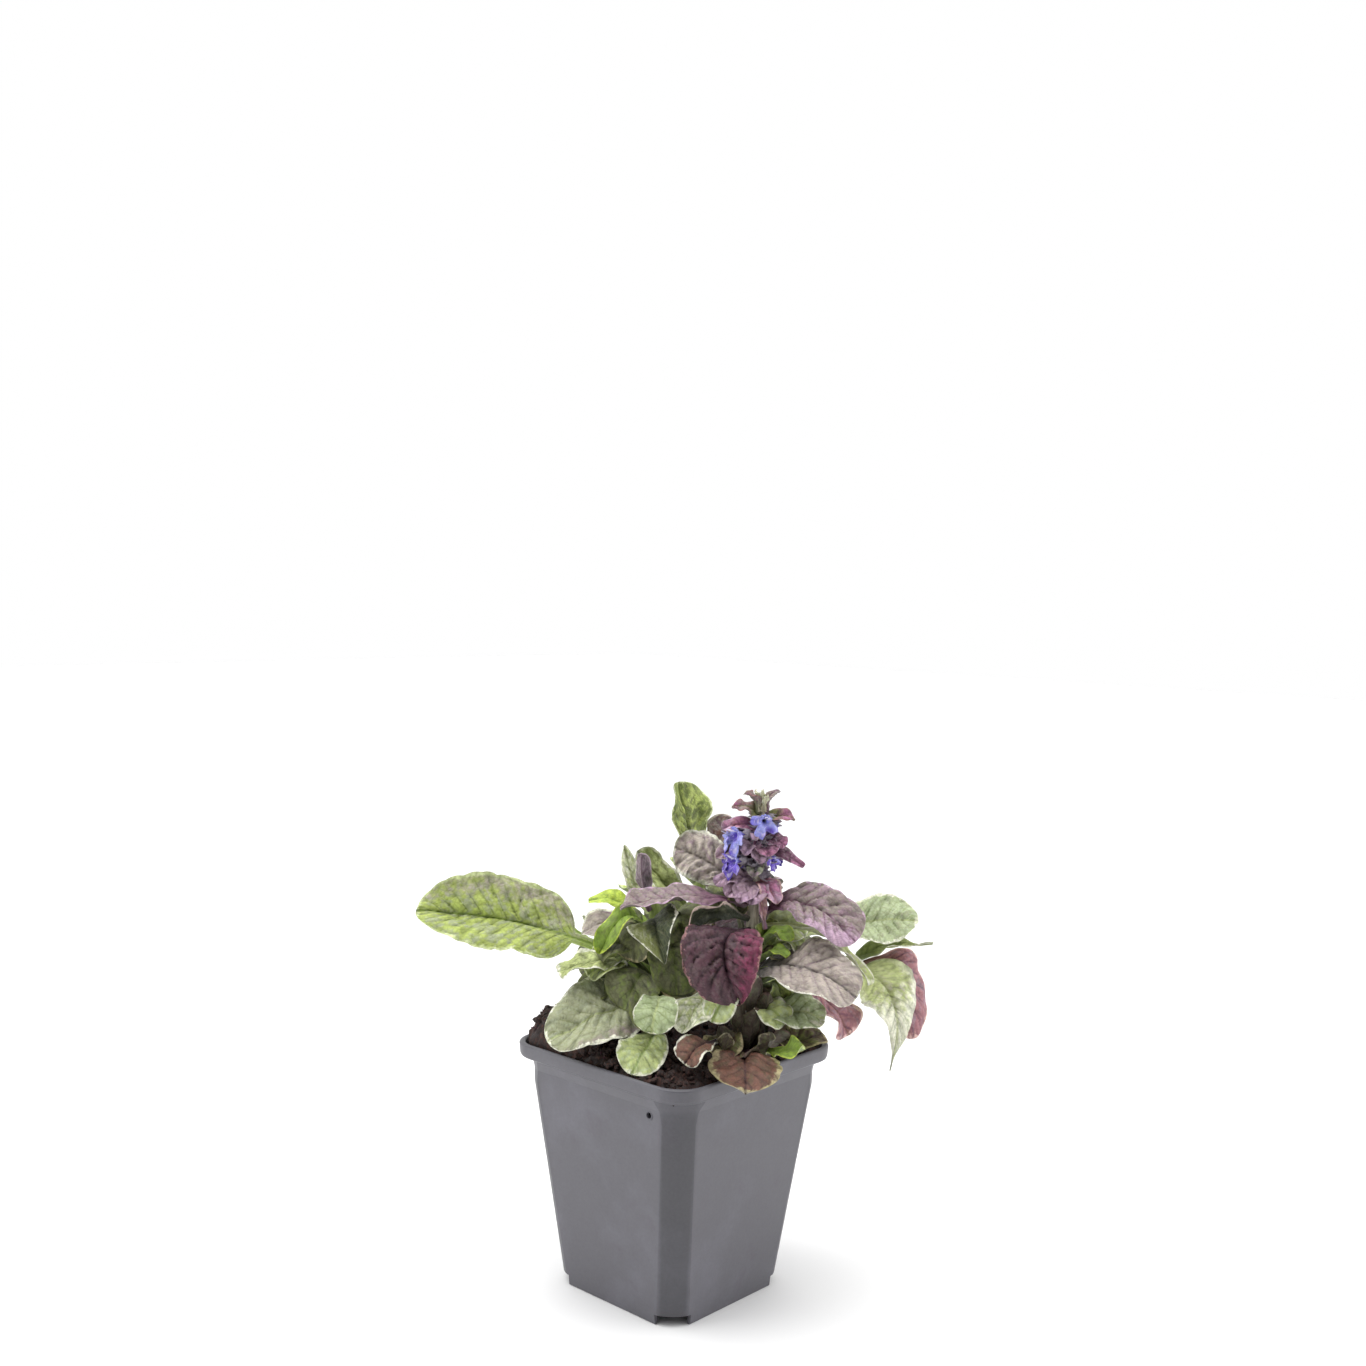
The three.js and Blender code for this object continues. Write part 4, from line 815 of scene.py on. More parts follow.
def leaf_formula(root, mid, tip, wide, number, inward, roll=0, twist=0, fold=12, stalk=0.3, base=1.15,
                 point=0.5, wave=1.2, waves=2.4, phase=0, quilt=0.5, ruffle=0.3, flush=(-1, 0, 0), wing=1.1):
    """The skin of one leaf, upper face then underside. Its rib curves from root through mid to tip;
    the blade is a spatula on a winged stalk, folded along the rib, waved and ruffled at its
    scalloped edge, and puffed up between side veins that run outward and on toward the tip.
    The number seeds what varies from leaf to leaf, and inward is how far the stalk runs on into
    its shoot. Base and point shape the blade's two ends, wing is the half-width of the stalk, and
    the flush has a level and what it gains toward the tip and toward one edge."""
    settings = bpy.context.scene.bugleweed_leaf
    vein_spacing, thickness = settings.veins / MM, settings.thickness / MM
    root, mid, tip = (np.array(p, float) for p in (root, mid, tip))
    knee = 2 * mid - 0.5 * root - 0.5 * tip
    rib_length = np.linalg.norm(mid - root) + np.linalg.norm(tip - mid)
    vein_count = max(3, (1 - stalk) * rib_length / vein_spacing)
    slant = 0.4 * wide / vein_spacing
    teeth = max(3, (1 - stalk) * rib_length / TOOTH_SPACING)
    widest = base / (base + point)
    peak = widest ** base * (1 - widest) ** point
    slope = math.radians(fold)

    def formula(x, y):
        # Along the rib u runs from 0 to 1, across the blade v from -1 to 1, both closer toward the
        # edges, and a is how far out a point lies. The upper face comes first, then the underside.
        u = 1 - (1 - x) ** 1.35
        under = y > 0.5
        w = np.where(under, 3 - 4 * y, 4 * y - 1)
        v = 0.55 * w + 0.45 * np.sin(w * math.pi / 2)
        a = np.abs(v)
        t = u[:, None]
        centre = (1 - t) ** 2 * root + 2 * t * (1 - t) * knee + t ** 2 * tip
        along = unit((1 - t) * (knee - root) + t * (tip - knee))
        heading = unit((tip - root) * (1, 1, 0))
        level = np.array([-heading[1], heading[0], 0])
        side = unit(level - along * (along @ level)[:, None])
        face = np.cross(along, side)
        angle = np.radians(roll + twist * (u - 0.5))[:, None]
        across = side * np.cos(angle) + face * np.sin(angle)
        up = face * np.cos(angle) - side * np.sin(angle)

        # The outline: s runs along the blade alone, and the two halves have teeth of their own.
        s = np.clip((u - stalk) / (1 - stalk), 0, 1)
        spread = np.minimum(1, 3 * s)
        blade = s ** base * (1 - s) ** point / peak
        other = (v < 0).astype(float)
        uneven = np.sin(5.1 * s + 2.3 * number + 1.9 * other) + 0.6 * np.sin(11.3 * s + 1.1 * number + other)
        tooth = teeth * s + 0.35 * uneven + 0.17 * number + 0.4 * other
        notch = 2 * np.abs(np.sin(math.pi * tooth)) ** 0.7 - 1
        edge = 1 + settings.crenation * notch * (0.8 + 0.3 * uneven) * spread + 0.025 * uneven * spread
        half = np.maximum(np.hypot(wing * (1 - s), 0.5 * wide * blade) * edge, 0.25)
        veins = vein_count * s - slant * a * (1 - 0.25 * a) + 0.5 * other

        # The relief: waves and a frill at the edge, pads between the veins, creases and soft bends.
        ripple = wave * spread * v * v * np.sin(2 * math.pi * waves * u + phase + (v < 0) * 1.9)
        frill = ruffle * spread * a ** 3 * np.sin(2 * math.pi * teeth * 0.6 * s + 1.3 * number + (v < 0) * 2.3)
        pad = np.abs(np.sin(math.pi * veins)) ** 0.8 * (1 - a ** 4) * (1 - np.exp(-(a * half / 1.3) ** 2))
        flat = np.stack([rib_length * u, v * half, np.full_like(u, 5.3 * number)], axis=1)
        bends = np.array([noise.noise(Vector(p)) for p in flat * 0.13])
        lengthwise = np.stack(
            [veins * vein_spacing * 0.42, a * half * 0.26, flat[:, 2] + 9 * other], axis=1)
        creases = np.array([abs(noise.noise(Vector(p))) for p in lengthwise])
        creases = np.clip(creases / 0.32, 0, 1) ** 0.7
        depth_here = settings.quilting * quilt * spread * (1 - s ** 6)
        puff = depth_here * (0.7 * pad + 0.7 * creases * (1 - 0.6 * a ** 4)) + 2 * bends * spread
        groove = 0.35 * np.exp(-(a * half / 0.6) ** 2)
        lift = half * a * math.sin(slope) * spread + ripple + frill + puff - groove
        thick = thickness / math.cos(slope) * (1 - a ** 6)
        rib = (0.4 + 0.9 * (1 - u)) * np.exp(-(a * half / 0.9) ** 2)
        stalk_depth = 1.7 * np.sqrt(np.maximum(0, 1 - a * a))
        depth = np.where(under, spread * (thick + rib) + (1 - spread) * stalk_depth, 0)
        place = centre + across * (v * half * np.cos(slope * spread))[:, None] + up * (lift - depth)[:, None]
        place[x == 0] = root - np.asarray(inward)
        place[x == 1] = tip
        run = np.stack([u, v, veins], axis=1)
        drift = flush[0] + flush[1] * (2 * u - 1) + flush[2] * v
        mood = np.stack([np.full_like(u, 3.7 * number), drift, a * half], axis=1)
        swell = np.stack([pad, creases, np.full_like(u, quilt)], axis=1)
        return to_row(place), {"run": run, "mood": mood, "swell": swell}

    return formula


def leaf_piece(name, finish, rib_length, wide, formula, fineness=1.0):
    """A leaf's mesh, with a face about each millimetre, in the finish of its two sides."""
    rows = int(min(78, max(20, rib_length / 0.7)) * fineness)
    columns = 4 * int(min(22, max(5, wide / 1.5)) * fineness)
    piece = shaped_grid(name, rows, columns, formula)
    for back in (False, True):
        piece.data.materials.append(leaf_tissue(finish, back))
    smooth(piece, 60)
    return piece


def seated_leaf(name, shoot, z, mid, tip, wide, finish, shape, number, fineness=1.0):
    """A leaf whose stalk springs from a shoot at a height, on the side that the leaf heads for."""
    axis, radius = shoot_at(node_of(shoot), z)
    outward = unit((np.array(mid, float) - axis) * (1, 1, 0))
    root = axis + outward * (radius + SEAT_GAP)
    formula = leaf_formula(root, mid, tip, wide, number, outward * STALK_HOLD, phase=2.1 * number, **shape)
    rib_length = math.dist(root, mid) + math.dist(mid, tip)
    return leaf_piece(name, finish, rib_length, wide, formula, fineness)


class BUGLEWEED_OT_leaves(bpy.types.Operator):
    """Builds the leaves: one closed, veined blade for each, on its shoot"""
    bl_idname = "bugleweed.leaves"
    bl_label = "Leaves"

    def execute(self, context):
        for number, (name, *leaf, roll, fold, quilt, own) in enumerate(LEAVES):
            shape = dict(roll=roll, fold=fold, quilt=quilt) | own
            finish_piece(seated_leaf(f"{name}_blade", *leaf, shape, number), [name])
        return {"FINISHED"}


class BUGLEWEED_OT_inner_leaves(bpy.types.Operator):
    """Builds the shaded leaves that fill the room between the shoots"""
    bl_idname = "bugleweed.inner_leaves"
    bl_label = "Inner leaves"

    def execute(self, context):
        for shoot in sorted({leaf[0] for leaf in INNER_LEAVES}):
            pieces = []
            for number, (on, z, mid, tip, wide, finish, *bends) in enumerate(INNER_LEAVES):
                if on == shoot:
                    shape = dict(zip(("roll", "fold", "stalk"), bends))
                    pieces.append(seated_leaf(
                        f"inner_leaf_{number}", on, z, mid, tip, wide, finish, shape, 80 + number, 0.7))
            finish_piece(joined(f"{node_of(shoot)}_inner_leaves", pieces), [node_of(shoot)])
        return {"FINISHED"}


def shoot_rings(name, joints):
    """The outline of a shoot: four-sided with round corners, swollen at its joints, blunt on top."""
    foot, top = SHOOTS[name][:2]
    turns = [2 * math.pi * k / 12 for k in range(12)]
    rings = []
    for z in np.arange(foot[2], top[2] + 0.4, 1.5):
        middle, radius = shoot_at(name, z)
        swell = min(1.3, 1 + 0.22 * sum(math.exp(-((z - joint) / 1.6) ** 2) for joint in joints))
        ring = []
        for k, angle in enumerate(turns):
            size = radius * swell * (1 + 0.07 * math.cos(4 * angle)) * (0.97 + 0.03 * math.sin(z * 1.7 + k))
            ring.append(middle + (size * math.cos(angle), size * math.sin(angle), 0))
        rings.append(to_row(ring))
    middle, radius = shoot_at(name, top[2] + 0.8)
    rings.append(to_row([middle + (0.5 * radius * math.cos(angle), 0.5 * radius * math.sin(angle), 0)
                         for angle in turns]))
    return rings


class BUGLEWEED_OT_shoots(bpy.types.Operator):
    """Builds the leafy shoots and the stalk of the flower spike"""
    bl_idname = "bugleweed.shoots"
    bl_label = "Shoots"

    def execute(self, context):
        colours = context.scene.bugleweed_spike_colours
        for name in SHOOTS:
            joints = [z for _, shoot, z, *_ in LEAVES if node_of(shoot) == name]
            piece = lofted(f"{name}_bark", shoot_rings(name, joints))
            high = colours.stalk if name == "flower_stem" else colours.green
            bark = green_bark(f"{name}_skin", colours.bark, high, 128 * MM)
            smooth(piece, 50)
            finish_piece(piece, [name], [bark])
        return {"FINISHED"}


class BUGLEWEED_OT_bracts(bpy.types.Operator):
    """Builds the leafy bracts of the flower spike"""
    bl_idname = "bugleweed.bracts"
    bl_label = "Bracts"

    def execute(self, context):
        pieces = []
        for z, heading, rise, reach, wide, roll, finish, own in BRACTS:
            root = shoot_at("flower_stem", z)[0] + bearing(heading, 0) * 0.4
            tip = root + bearing(heading, rise) * reach
            mid = (root + tip) / 2 + (0, 0, 0.1 * reach)
            formula = leaf_formula(root, mid, tip, wide, 60 + len(pieces), (0, 0, 0), roll=roll, phase=heading,
                                   **(BRACT_SHAPE | own))
            pieces.append(leaf_piece(f"bract_{len(pieces)}", finish, 1.8 * reach, 2 * wide, formula))
        finish_piece(joined("flower_bracts", pieces), ["flower_stem"])
        return {"FINISHED"}


def flower_formula(x, y):
    """One flower, along +X with its mouth at 1: a tube that widens to a small upper lip and a
    lower lip of three drooping, crumpled lobes. Millimetres, at life size for a mouth 10 mm out."""
    angle = 2 * math.pi * y
    tube = np.minimum(x / 0.5, 1)
    lip = np.clip((x - 0.5) / 0.5, 0, 1)
    radius = 0.6 + 0.3 * tube + 0.9 * tube ** 6
    from_low = np.abs((angle + math.pi) % (2 * math.pi) - math.pi)
    middle_lobe = np.exp(-(from_low / 0.5) ** 4)
    side_lobe = np.exp(-((from_low - 1.25) / 0.48) ** 4)
    notch = 1 - 0.2 * np.exp(-(from_low / 0.12) ** 2)
    reach = 1.1 + 4.6 * middle_lobe * notch + 3.3 * side_lobe
    crumple = lip * (0.35 * np.sin(11 * angle) + 0.25 * np.sin(17 * angle + 9 * lip))
    out = 6 * tube + reach * lip * (0.75 - 0.5 * lip) + crumple
    spread = radius + reach * lip * (0.35 + 0.6 * lip) + 0.5 * crumple
    place = np.stack([out, np.sin(angle) * spread, -np.cos(angle) * spread], axis=1)
    return place, {"run": np.stack([x, y, lip], axis=1)}


def calyx_formula(x, y):
    """The cup round a flower's foot: a bell with five pointed teeth."""
    angle = 2 * math.pi * y
    tooth = np.abs((5 * y) % 1 - 0.5) * 2
    reach = 3.0 + 1.7 * tooth
    radius = 0.5 + 1.05 * np.sin(np.minimum(x * 1.5, 1) * math.pi / 2) - 0.15 * x ** 4
    return np.stack([reach * x, radius * np.sin(angle), radius * np.cos(angle)], axis=1), {}


def thread_rings(points, radius):
    """Rings along a thread that heads mostly along +X and ends in a small knob."""
    turns = [2 * math.pi * k / 5 for k in range(5)]
    sizes = [radius] * (len(points) - 2) + [2.4 * radius, 2.4 * radius * 0.3]
    return [[(x, y + size * math.cos(angle), z + size * math.sin(angle)) for angle in turns]
            for (x, y, z), size in zip(points, sizes)]


# Where a flower starts from the axis of its stalk, and how long it is at life size.
STALK_EDGE = 1.2
FLOWER_LENGTH = 7


def flower_models():
    """The flower, its calyx and its stamens, each modelled once."""
    flower = shaped_grid("flower_model", 18, 48, flower_formula)
    calyx = shaped_grid("calyx_model", 8, 20, calyx_formula)
    for model, thickness in ((flower, 0.18), (calyx, 0.2)):
        one_material(model)
        apply_modifier(model, "SOLIDIFY", thickness=thickness * MM, offset=0)
    threads = []
    for side, reach, rise in ((-0.5, 9.0, 1.6), (0.5, 9.2, 1.7), (-0.9, 8.0, 1.1), (0.9, 8.2, 1.2)):
        points = [(3 + (reach - 3) * k / 6, side * (0.4 + 0.1 * k), 0.6 + rise * (k / 6) ** 1.5)
                  for k in range(7)]
        threads.append(lofted("stamen_model", thread_rings(points, 0.11)))
    stamens = joined("stamens_model", threads)
    for model in (flower, calyx, stamens):
        smooth(model, 60)
    return flower, calyx, stamens


def flower_matrix(z, heading, size, rise, roll=0.0, start=STALK_EDGE):
    """The place of a flower that leaves the stalk at a height and heading."""
    foot = shoot_at("flower_stem", z)[0] + bearing(heading, 0) * start
    place = Vector(to_row(foot)) * MM
    turn = Matrix.Rotation(PLANT_TURN + math.radians(heading), 4, "Z")
    tilt = Matrix.Rotation(-math.radians(rise), 4, "Y") @ Matrix.Rotation(math.radians(roll), 4, "X")
    return Matrix.Translation(place) @ turn @ tilt @ Matrix.Scale(size, 4)


class BUGLEWEED_OT_flowers(bpy.types.Operator):
    """Builds the whorls of blue flowers with their cups and stamens"""
    bl_idname = "bugleweed.flowers"
    bl_label = "Flowers"

    def execute(self, context):
        colours = context.scene.bugleweed_spike_colours
        flower, calyx, stamens = flower_models()
        petal = petal_tissue()
        cup = plain_tissue("calyx_hairy", colours.calyx, 0.7, 0.5, 0.35)
        thread = plain_tissue("stamen_waxy", colours.stamen, 0.5, 0.4, 0.1)
        dice = random.Random(4)
        for name, z, flowers in WHORLS:
            petals, cups, threads = [], [], []
            for heading, mouth, higher, size in flowers:
                start = max(STALK_EDGE, mouth - FLOWER_LENGTH * size)
                place = flower_matrix(
                    z + higher, heading, size, dice.uniform(-4, 12), dice.uniform(-25, 25), start)
                petals.append(copied(flower, place))
                threads.append(copied(stamens, place))
                cups.append(copied(calyx, flower_matrix(z + higher, heading, 1.1, 4, 0, start)))
            for k in range(9):
                cups.append(copied(calyx, flower_matrix(
                    z + dice.uniform(-3, 1.6), 40 * k + dice.uniform(-12, 12), dice.uniform(0.8, 1.15),
                    dice.uniform(-10, 35))))
            finish_piece(joined(f"{name}_petals", petals), [name], [petal])
            finish_piece(joined(f"{name}_cups", cups), [name], [cup])
            finish_piece(joined(f"{name}_stamens", threads), [name], [thread])
        for model in (flower, calyx, stamens):
            bpy.data.objects.remove(model)
        return {"FINISHED"}


# The pot: steps in the arc of a corner, how far an arc of the body turns, and what the rim's
# corner takes off each flat; the notches in the corners of the foot; the drain holes in the
# floor, a ring of them and one in the middle; and the small hole high on one side.
CORNER_STEPS = 10
BODY_TURN = math.radians(50)
RIM_LEG = 11
NOTCH_MIDDLE, NOTCH_SIDE, NOTCH_HEIGHT = 32.5, 20, 8
FLOOR_MIDDLE = 4.6
DRAIN_RADIUS, DRAIN_RING, DRAIN_COUNT = 2.6, 17, 8
SIDE_HOLE_X, SIDE_HOLE_Z, SIDE_HOLE_RADIUS = 26.5, 80.4, 1.15


def square_ring(half, leg, turn, z):
    """A square outline with arcs for corners. An arc turns less than a right angle where it leaves
    the flats at a crease; leg is what it takes off each flat."""
    radius = leg * math.sqrt(0.5) / math.sin(turn / 2)
    middle = half - leg / 2 - radius * math.cos(turn / 2) * math.sqrt(0.5)
    ring = []
    for corner in range(4):
        facing = corner * math.pi / 2
        cx = middle * (math.cos(facing) - math.sin(facing))
        cy = middle * (math.sin(facing) + math.cos(facing))
        for k in range(CORNER_STEPS + 1):
            angle = math.pi / 4 + facing + turn * (k / CORNER_STEPS - 0.5)
            ring.append((cx + radius * math.cos(angle), cy + radius * math.sin(angle), z))
    return ring


def body_outline(z, inset=0.0):
    """The tapered body of the pot, which flares under the rim. Inset is how far inside its outer
    face the outline lies."""
    pot = bpy.context.scene.bugleweed_pot
    foot, rim = pot.foot / MM, pot.rim / MM
    taper = (rim - 3.62 - foot) / 83
    # Height, half-width, and what a corner takes off each flat.
    levels = ((0, foot, 8.4), (78, foot + 78 * taper, 8.4), (83, rim - 3.6, 9.8), (87, rim - 1.8, 13))
    heights, halves, legs = zip(*levels)
    half = float(np.interp(z, heights, halves)) - inset
    return square_ring(half, float(np.interp(z, heights, legs)), BODY_TURN, z)


def rim_outline(z, half):
    """The rim, whose corners are plain quarter circles."""
    return square_ring(half, RIM_LEG, math.radians(90), z)


def side_hole():
    """The middle of the little hole high on one side of the pot, on the outer face of the wall."""
    half = max(point[0] for point in body_outline(SIDE_HOLE_Z))
    return Vector((SIDE_HOLE_X, -half, SIDE_HOLE_Z)) * MM


def carve(piece):
    """Takes the active object's solid out of a piece, and removes it."""
    cutter = bpy.context.object
    apply_modifier(piece, "BOOLEAN", object=cutter, operation="DIFFERENCE", solver="EXACT")
    bpy.data.objects.remove(cutter)


def drill(piece, middle, radius, rotation=(0, 0, 0)):
    """Drills a hole through the pot's floor or wall. The middle is in metres."""
    select_only()
    bpy.ops.mesh.primitive_cylinder_add(
        vertices=24, radius=radius * MM, depth=4 * MM, location=middle, rotation=rotation)
    carve(piece)


class BUGLEWEED_OT_pot(bpy.types.Operator):
    """Builds the square nursery pot with its rim, foot notches and drain holes"""
    bl_idname = "bugleweed.pot"
    bl_label = "Pot"

    def execute(self, context):
        pot = context.scene.bugleweed_pot
        wall, rim, top = pot.wall / MM, pot.rim / MM, pot.height / MM
        # Up the foot's inner face, round its edge, up the outer face and the rim, and down inside.
        rings = [body_outline(4, wall), body_outline(0.4, wall), body_outline(0, wall - 0.2)]
        rings += [body_outline(0, 0.3), body_outline(0.4)]
        rings += [body_outline(z) for z in (15, 30, 45, 60, 72, 78, 79.5, 81, 82.2, 83, 84, 85, 86, 87)]
        rings += [rim_outline(z, half) for z, half in (
            (87.2, rim - 1.6), (87.4, rim - 1.0), (87.8, rim - 0.5), (88.6, rim - 0.25), (90.5, rim - 0.1),
            (top - 0.9, rim), (top - 0.4, rim - 0.15), (top - 0.1, rim - 0.45), (top, rim - 0.8),
            (top - 0.1, rim - 1.35), (top - 0.5, rim - 1.7), (top - 4, rim - 1.95), (88, rim - 2.2))]
        rings += [body_outline(z, wall) for z in (86.5, 85, 83, 81, 78, 60, 40, 20, 6, 5.2)]
        piece = lofted("moulded_pot", rings)
        for sx, sy in ((1, 1), (-1, 1), (-1, -1), (1, -1)):
            select_only()
            bpy.ops.mesh.primitive_cube_add(
                size=1, location=Vector((sx * NOTCH_MIDDLE, sy * NOTCH_MIDDLE, 0)) * MM,
                scale=Vector((NOTCH_SIDE, NOTCH_SIDE, NOTCH_HEIGHT)) * MM)
            carve(piece)
        for k in range(DRAIN_COUNT):
            turn = 2 * math.pi * k / DRAIN_COUNT
            place = Vector((DRAIN_RING * math.cos(turn), DRAIN_RING * math.sin(turn), FLOOR_MIDDLE))
            drill(piece, place * MM, DRAIN_RADIUS)
        drill(piece, (0, 0, FLOOR_MIDDLE * MM), DRAIN_RADIUS)
        drill(piece, side_hole(), SIDE_HOLE_RADIUS, (math.pi / 2, 0, 0))
        smooth(piece, 14)
        finish_piece(piece, ["pot"], [moulded_plastic()])
        return {"FINISHED"}


class BUGLEWEED_OT_hole_lip(bpy.types.Operator):
    """Adds the raised lip round the little hole high on one side of the pot"""
    bl_idname = "bugleweed.hole_lip"
    bl_label = "Lip of the side hole"

    def execute(self, context):
        select_only()
        bpy.ops.mesh.primitive_torus_add(
            major_radius=(SIDE_HOLE_RADIUS + 0.2) * MM, minor_radius=0.3 * MM, major_segments=32,
            minor_segments=10, location=side_hole(), rotation=(math.pi / 2, 0, 0))
        piece = bpy.context.object
        piece.name = piece.data.name = "side_hole_lip"
        bpy.ops.object.transform_apply(location=True, rotation=True, scale=True)
        smooth(piece, 60)
        finish_piece(piece, ["pot"], [bpy.data.materials["recycled_polypropylene_moulded"]])
        return {"FINISHED"}


# The peat: half the width of its top, its corner radius, half the width that is strewn, the
# height of its top before it is heaped, and how far it reaches to the plant's left.
PEAT_HALF = 42.4
PEAT_CORNER = 10.5
STREWN_HALF = 41.8
PEAT_TOP = 91.7
LEFT_REACH = 60


def rounded_square(x, y, half, corner):
    """Presses the square from -1 to 1 into one of this half-width with round corners."""
    reach = np.maximum(np.abs(x), np.abs(y))
    angle = np.arctan2(y, x)
    c, s = np.abs(np.cos(angle)), np.abs(np.sin(angle))
    flat = half / np.maximum(c, s)
    middle = half - corner
    b = middle * (c + s)
    bend = b + np.sqrt(np.maximum(0, b * b - 2 * middle ** 2 + corner ** 2))
    on_corner = np.minimum(c, s) * flat > middle
    radius = np.where(on_corner, np.minimum(bend, flat), flat) * reach
    return radius * np.cos(angle), radius * np.sin(angle)


def peat_height(x, y):
    """The heap of the peat: just under the rim at the wall, highest behind and to the left, and
    banked up in the left corner. Lumps and finer clods lie over it, and it sinks at the wall."""
    tx = x * math.cos(PLANT_TURN) + y * math.sin(PLANT_TURN)
    ty = -x * math.sin(PLANT_TURN) + y * math.cos(PLANT_TURN)
    inset = np.maximum(0, PEAT_HALF + 0.8 - (np.abs(x) ** 9 + np.abs(y) ** 9) ** (1 / 9))
    behind = np.maximum(0, ty + 20) / 80
    leftward = np.maximum(0, -tx) / LEFT_REACH
    banked = 5 * np.maximum(0, -tx - 40) / 15
    heap = (3 + 8 * (behind + leftward) + banked) * (1 - np.exp(-inset / 6))
    lumps = 1.1 * np.sin(0.62 * x + 1.3 * np.cos(0.41 * y)) * np.cos(0.57 * y - 0.9 * np.sin(0.37 * x))
    fine = 0.7 * np.sin(1.31 * x - 0.9 * y) * np.cos(1.17 * y + 0.6 * x)
    sunken = 2.2 * np.exp(-inset / 1.5)
    return PEAT_TOP + 2 * leftward + heap + lumps + fine - sunken


class BUGLEWEED_OT_peat(bpy.types.Operator):
    """Builds the heaped peat that fills the pot"""
    bl_idname = "bugleweed.peat"
    bl_label = "Peat"

    def execute(self, context):
        def formula(x, y):
            px, py = rounded_square(2 * x - 1, 2 * y - 1, PEAT_HALF, PEAT_CORNER)
            rough = np.array([sum(
                height * noise.noise(Vector((a * often, b * often, layer)))
                for height, often, layer in ((0.9, 0.45, 3), (0.6, 1.1, 9))) for a, b in zip(px, py)])
            return np.stack([px, py, peat_height(px, py) + rough], axis=1), {}

        peat = context.scene.bugleweed_peat
        piece = shaped_grid("heaped_peat", 128, 128, formula)
        one_material(piece)
        bpy.ops.object.mode_set(mode="EDIT")
        bpy.ops.mesh.select_all(action="SELECT")
        bpy.ops.mesh.region_to_loop()
        # The wall of the pot narrows downward: depth of each course of the side, and its scale.
        for depth, size in ((9, 0.915), (68, 0.82)):
            bpy.ops.mesh.extrude_edges_move(TRANSFORM_OT_translate={"value": (0, 0, -depth * MM)})
            bpy.ops.transform.resize(value=(size, size, 1), center_override=(0, 0, 0.08))
        bpy.ops.mesh.edge_face_add()
        close_edit()
        smooth(piece, 60)
        finish_piece(piece, ["soil"], [damp_peat("peat_damp", peat.dark, peat.light, 2.2)])
        return {"FINISHED"}


class BUGLEWEED_OT_crumbs(bpy.types.Operator):
    """Strews crumbs, slivers of bark and old roots over the peat, most to the left"""
    bl_idname = "bugleweed.crumbs"
    bl_label = "Crumbs and bark"

    def execute(self, context):
        peat = context.scene.bugleweed_peat
        dice = random.Random(11)
        select_only()
        bpy.ops.mesh.primitive_ico_sphere_add(subdivisions=2, radius=MM)
        crumb = bpy.context.object
        for vertex in crumb.data.vertices:
            vertex.co *= 1 + 0.55 * noise.noise(vertex.co * 1400)
        chip = lofted("chip_model", [
            [(x, r * math.cos(a), 0.45 * r * math.sin(a)) for a in np.arange(6) * math.pi / 3]
            for x, r in ((-3, 0.1), (-2.4, 0.5), (-0.5, 0.75), (1.2, 0.6), (2.6, 0.4), (3, 0.1))])
        # Piece, its model, how many, colours, smallest and largest size, and steepest lie.
        for name, model, count, colours, low, high, tilt in (
                ("peat_crumbs", crumb, peat.crumbs, (peat.dark, peat.light), 0.6, 1.7, 0.6),
                ("bark_slivers", chip, peat.chips, (peat.dark, peat.bark), 0.35, 0.9, 0.6),
                ("old_roots", chip, peat.roots, (peat.dark, peat.root), 0.3, 0.75, 1.3)):
            pieces = []
            while len(pieces) < count:
                x, y = dice.uniform(-42, 42), dice.uniform(-42, 42)
                px, py = rounded_square(np.array([x / 42]), np.array([y / 42]), STREWN_HALF, PEAT_CORNER)
                leftward = max(0, -x * math.cos(PLANT_TURN) - y * math.sin(PLANT_TURN)) / LEFT_REACH
                if dice.random() > 0.25 + 0.55 * max(abs(x), abs(y)) / 42 + leftward:
                    continue
                size = dice.uniform(low, high) * (1 + 0.5 * leftward)
                z = float(peat_height(px, py)[0]) + 0.6 * size
                place = Matrix.Translation(Vector((px[0], py[0], z)) * MM)
                place @= Matrix.Rotation(dice.uniform(0, 6.28), 4, "Z")
                place @= Matrix.Rotation(dice.uniform(-tilt, tilt), 4, "Y")
                place @= Matrix.Scale(size, 4)
                place @= Matrix.Diagonal((1, dice.uniform(0.7, 1), dice.uniform(0.6, 1), 1))
                pieces.append(copied(model, place))
            piece = joined(name, pieces)
            smooth(piece, 30)
            finish_piece(piece, ["soil"], [damp_peat(f"{name}_fibrous", *colours, 1.1)])
        for model in (crumb, chip):
            bpy.data.objects.remove(model)
        return {"FINISHED"}


# Each lamp of the stage, in metres of the plant's frame: how far right, away and up, and its power.
LAMPS = {
    "left_softbox": (-0.95, 0.0, 0.75, 4),
    "right_softbox": (1.0, 0.1, 0.45, 3),
    "top_softbox": (-0.1, 0.0, 1.25, 7),
}
LAMP_SIZE = 1.0
LAMP_AIM = Vector((0, 0, 0.09))
# The camera as worked out from the pot's edges in the photograph: its place in millimetres, which
# way its right, its top and its back point, and its lens.
CAMERA_PLACE = Vector((393.26, -427.67, 265.5))
CAMERA_RIGHT = (0.734919, 0.677747, 0.023516)
CAMERA_UP = (-0.058653, 0.028978, 0.997858)
CAMERA_BACK = (0.675613, -0.734724, 0.061049)
CAMERA_LENS = 40.717


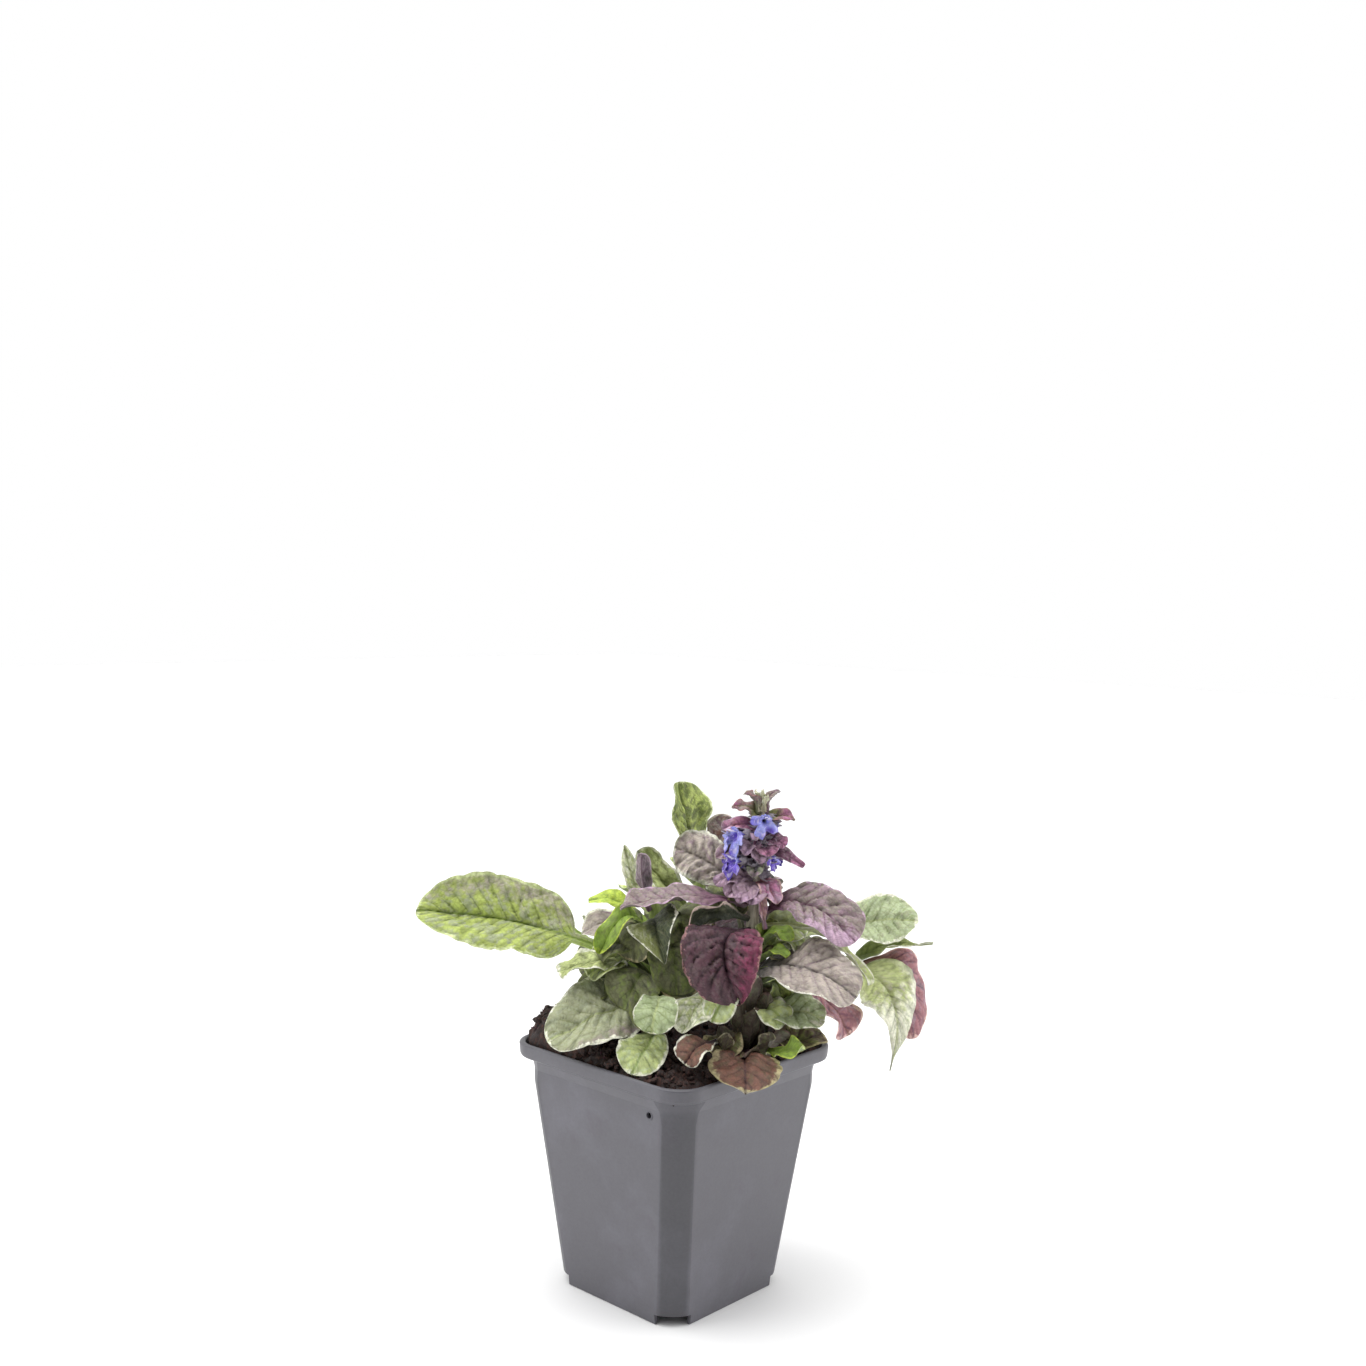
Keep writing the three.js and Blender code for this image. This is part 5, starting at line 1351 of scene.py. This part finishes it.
class BUGLEWEED_OT_stage(bpy.types.Operator):
    """Sets the pale floor, the soft lights and the camera"""
    bl_idname = "bugleweed.stage"
    bl_label = "Stage"

    def execute(self, context):
        stage = context.scene.bugleweed_stage
        select_only()
        bpy.ops.mesh.primitive_plane_add(size=8)
        floor = bpy.context.object
        floor.name = "floor"
        material, add = new_material("painted_floor_matt")
        cloudy = add("TexNoise", {"Vector": add("TexCoord", out=3), "Scale": 3.0})
        colour = varied(add, (*stage.floor, 1), cloudy, 0.99, 1.01, 0.0, 1.0)
        add("OutputMaterial", {"Surface": add("BsdfPrincipled", {"Base Color": colour, "Roughness": 0.8})})
        floor.data.materials.append(material)

        context.scene.view_settings.view_transform = "Standard"
        # The light tent is white all round, and dimmer on the side that is open to the camera.
        world = bpy.data.worlds.new("white_tent")
        context.scene.world = world
        world.use_nodes = True
        world.node_tree.nodes.clear()
        add = partial(add_node, world.node_tree)
        facing = add("VectorMath", {0: add("TexCoord"), 1: (0.68, -0.733, 0.0)}, out=1, operation="DOT_PRODUCT")
        dimmed = add("MapRange", {"Value": facing, "From Min": 0.35, "From Max": 0.95,
                                  "To Min": 1.18, "To Max": 0.02}, **EASED)
        strength = add("Mix", {0: add("LightPath"), 2: dimmed, 3: 1.0}, data_type="FLOAT")
        add("OutputWorld", {"Surface": add("Background", {"Color": (1, 1, 1, 1), "Strength": strength})})
        for name, (*place, power) in LAMPS.items():
            lamp = bpy.data.lights.new(name, "AREA")
            lamp.shape = "SQUARE"
            lamp.size = LAMP_SIZE
            lamp.energy = power * stage.light
            holder = bpy.data.objects.new(name, lamp)
            context.collection.objects.link(holder)
            holder.location = Vector(to_row(place))
            holder.rotation_euler = (LAMP_AIM - holder.location).to_track_quat("-Z", "Y").to_euler()

        lens = bpy.data.cameras.new("photo_camera")
        lens.lens = CAMERA_LENS
        lens.clip_start = 0.01
        camera = bpy.data.objects.new("photo_camera", lens)
        context.collection.objects.link(camera)
        turn = Matrix((CAMERA_RIGHT, CAMERA_UP, CAMERA_BACK)).transposed().to_4x4()
        camera.matrix_world = Matrix.Translation(CAMERA_PLACE * MM) @ turn
        context.scene.camera = camera
        return {"FINISHED"}


OPERATORS = (
    BUGLEWEED_OT_pot, BUGLEWEED_OT_hole_lip, BUGLEWEED_OT_peat, BUGLEWEED_OT_crumbs, BUGLEWEED_OT_shoots,
    BUGLEWEED_OT_leaves, BUGLEWEED_OT_inner_leaves, BUGLEWEED_OT_bracts, BUGLEWEED_OT_flowers, BUGLEWEED_OT_stage,
)


class BUGLEWEED_PT_panel(bpy.types.Panel):
    """Lists the pieces of the potted bugleweed with their sizes and colours"""
    bl_label = "Potted bugleweed"
    bl_idname = "BUGLEWEED_PT_panel"
    bl_space_type = "VIEW_3D"
    bl_region_type = "UI"
    bl_category = "Bugleweed"

    def draw(self, context):
        for operator in OPERATORS:
            self.layout.operator(operator.bl_idname)
        for key, group in SETTINGS.items():
            box = self.layout.box()
            for name in group.__annotations__:
                box.prop(getattr(context.scene, key), name)


CLASSES = (*SETTINGS.values(), *OPERATORS, BUGLEWEED_PT_panel)


def register():
    for cls in CLASSES:
        bpy.utils.register_class(cls)
    for key, group in SETTINGS.items():
        setattr(bpy.types.Scene, key, bpy.props.PointerProperty(type=group))


def unregister():
    for key in SETTINGS:
        delattr(bpy.types.Scene, key)
    for cls in reversed(CLASSES):
        bpy.utils.unregister_class(cls)


def main():
    register()
    bpy.ops.bugleweed.pot()
    bpy.ops.bugleweed.hole_lip()
    bpy.ops.bugleweed.peat()
    bpy.ops.bugleweed.crumbs()
    bpy.ops.bugleweed.shoots()
    bpy.ops.bugleweed.leaves()
    bpy.ops.bugleweed.inner_leaves()
    bpy.ops.bugleweed.bracts()
    bpy.ops.bugleweed.flowers()
    bpy.ops.bugleweed.stage()


if __name__ == "__main__":
    main()
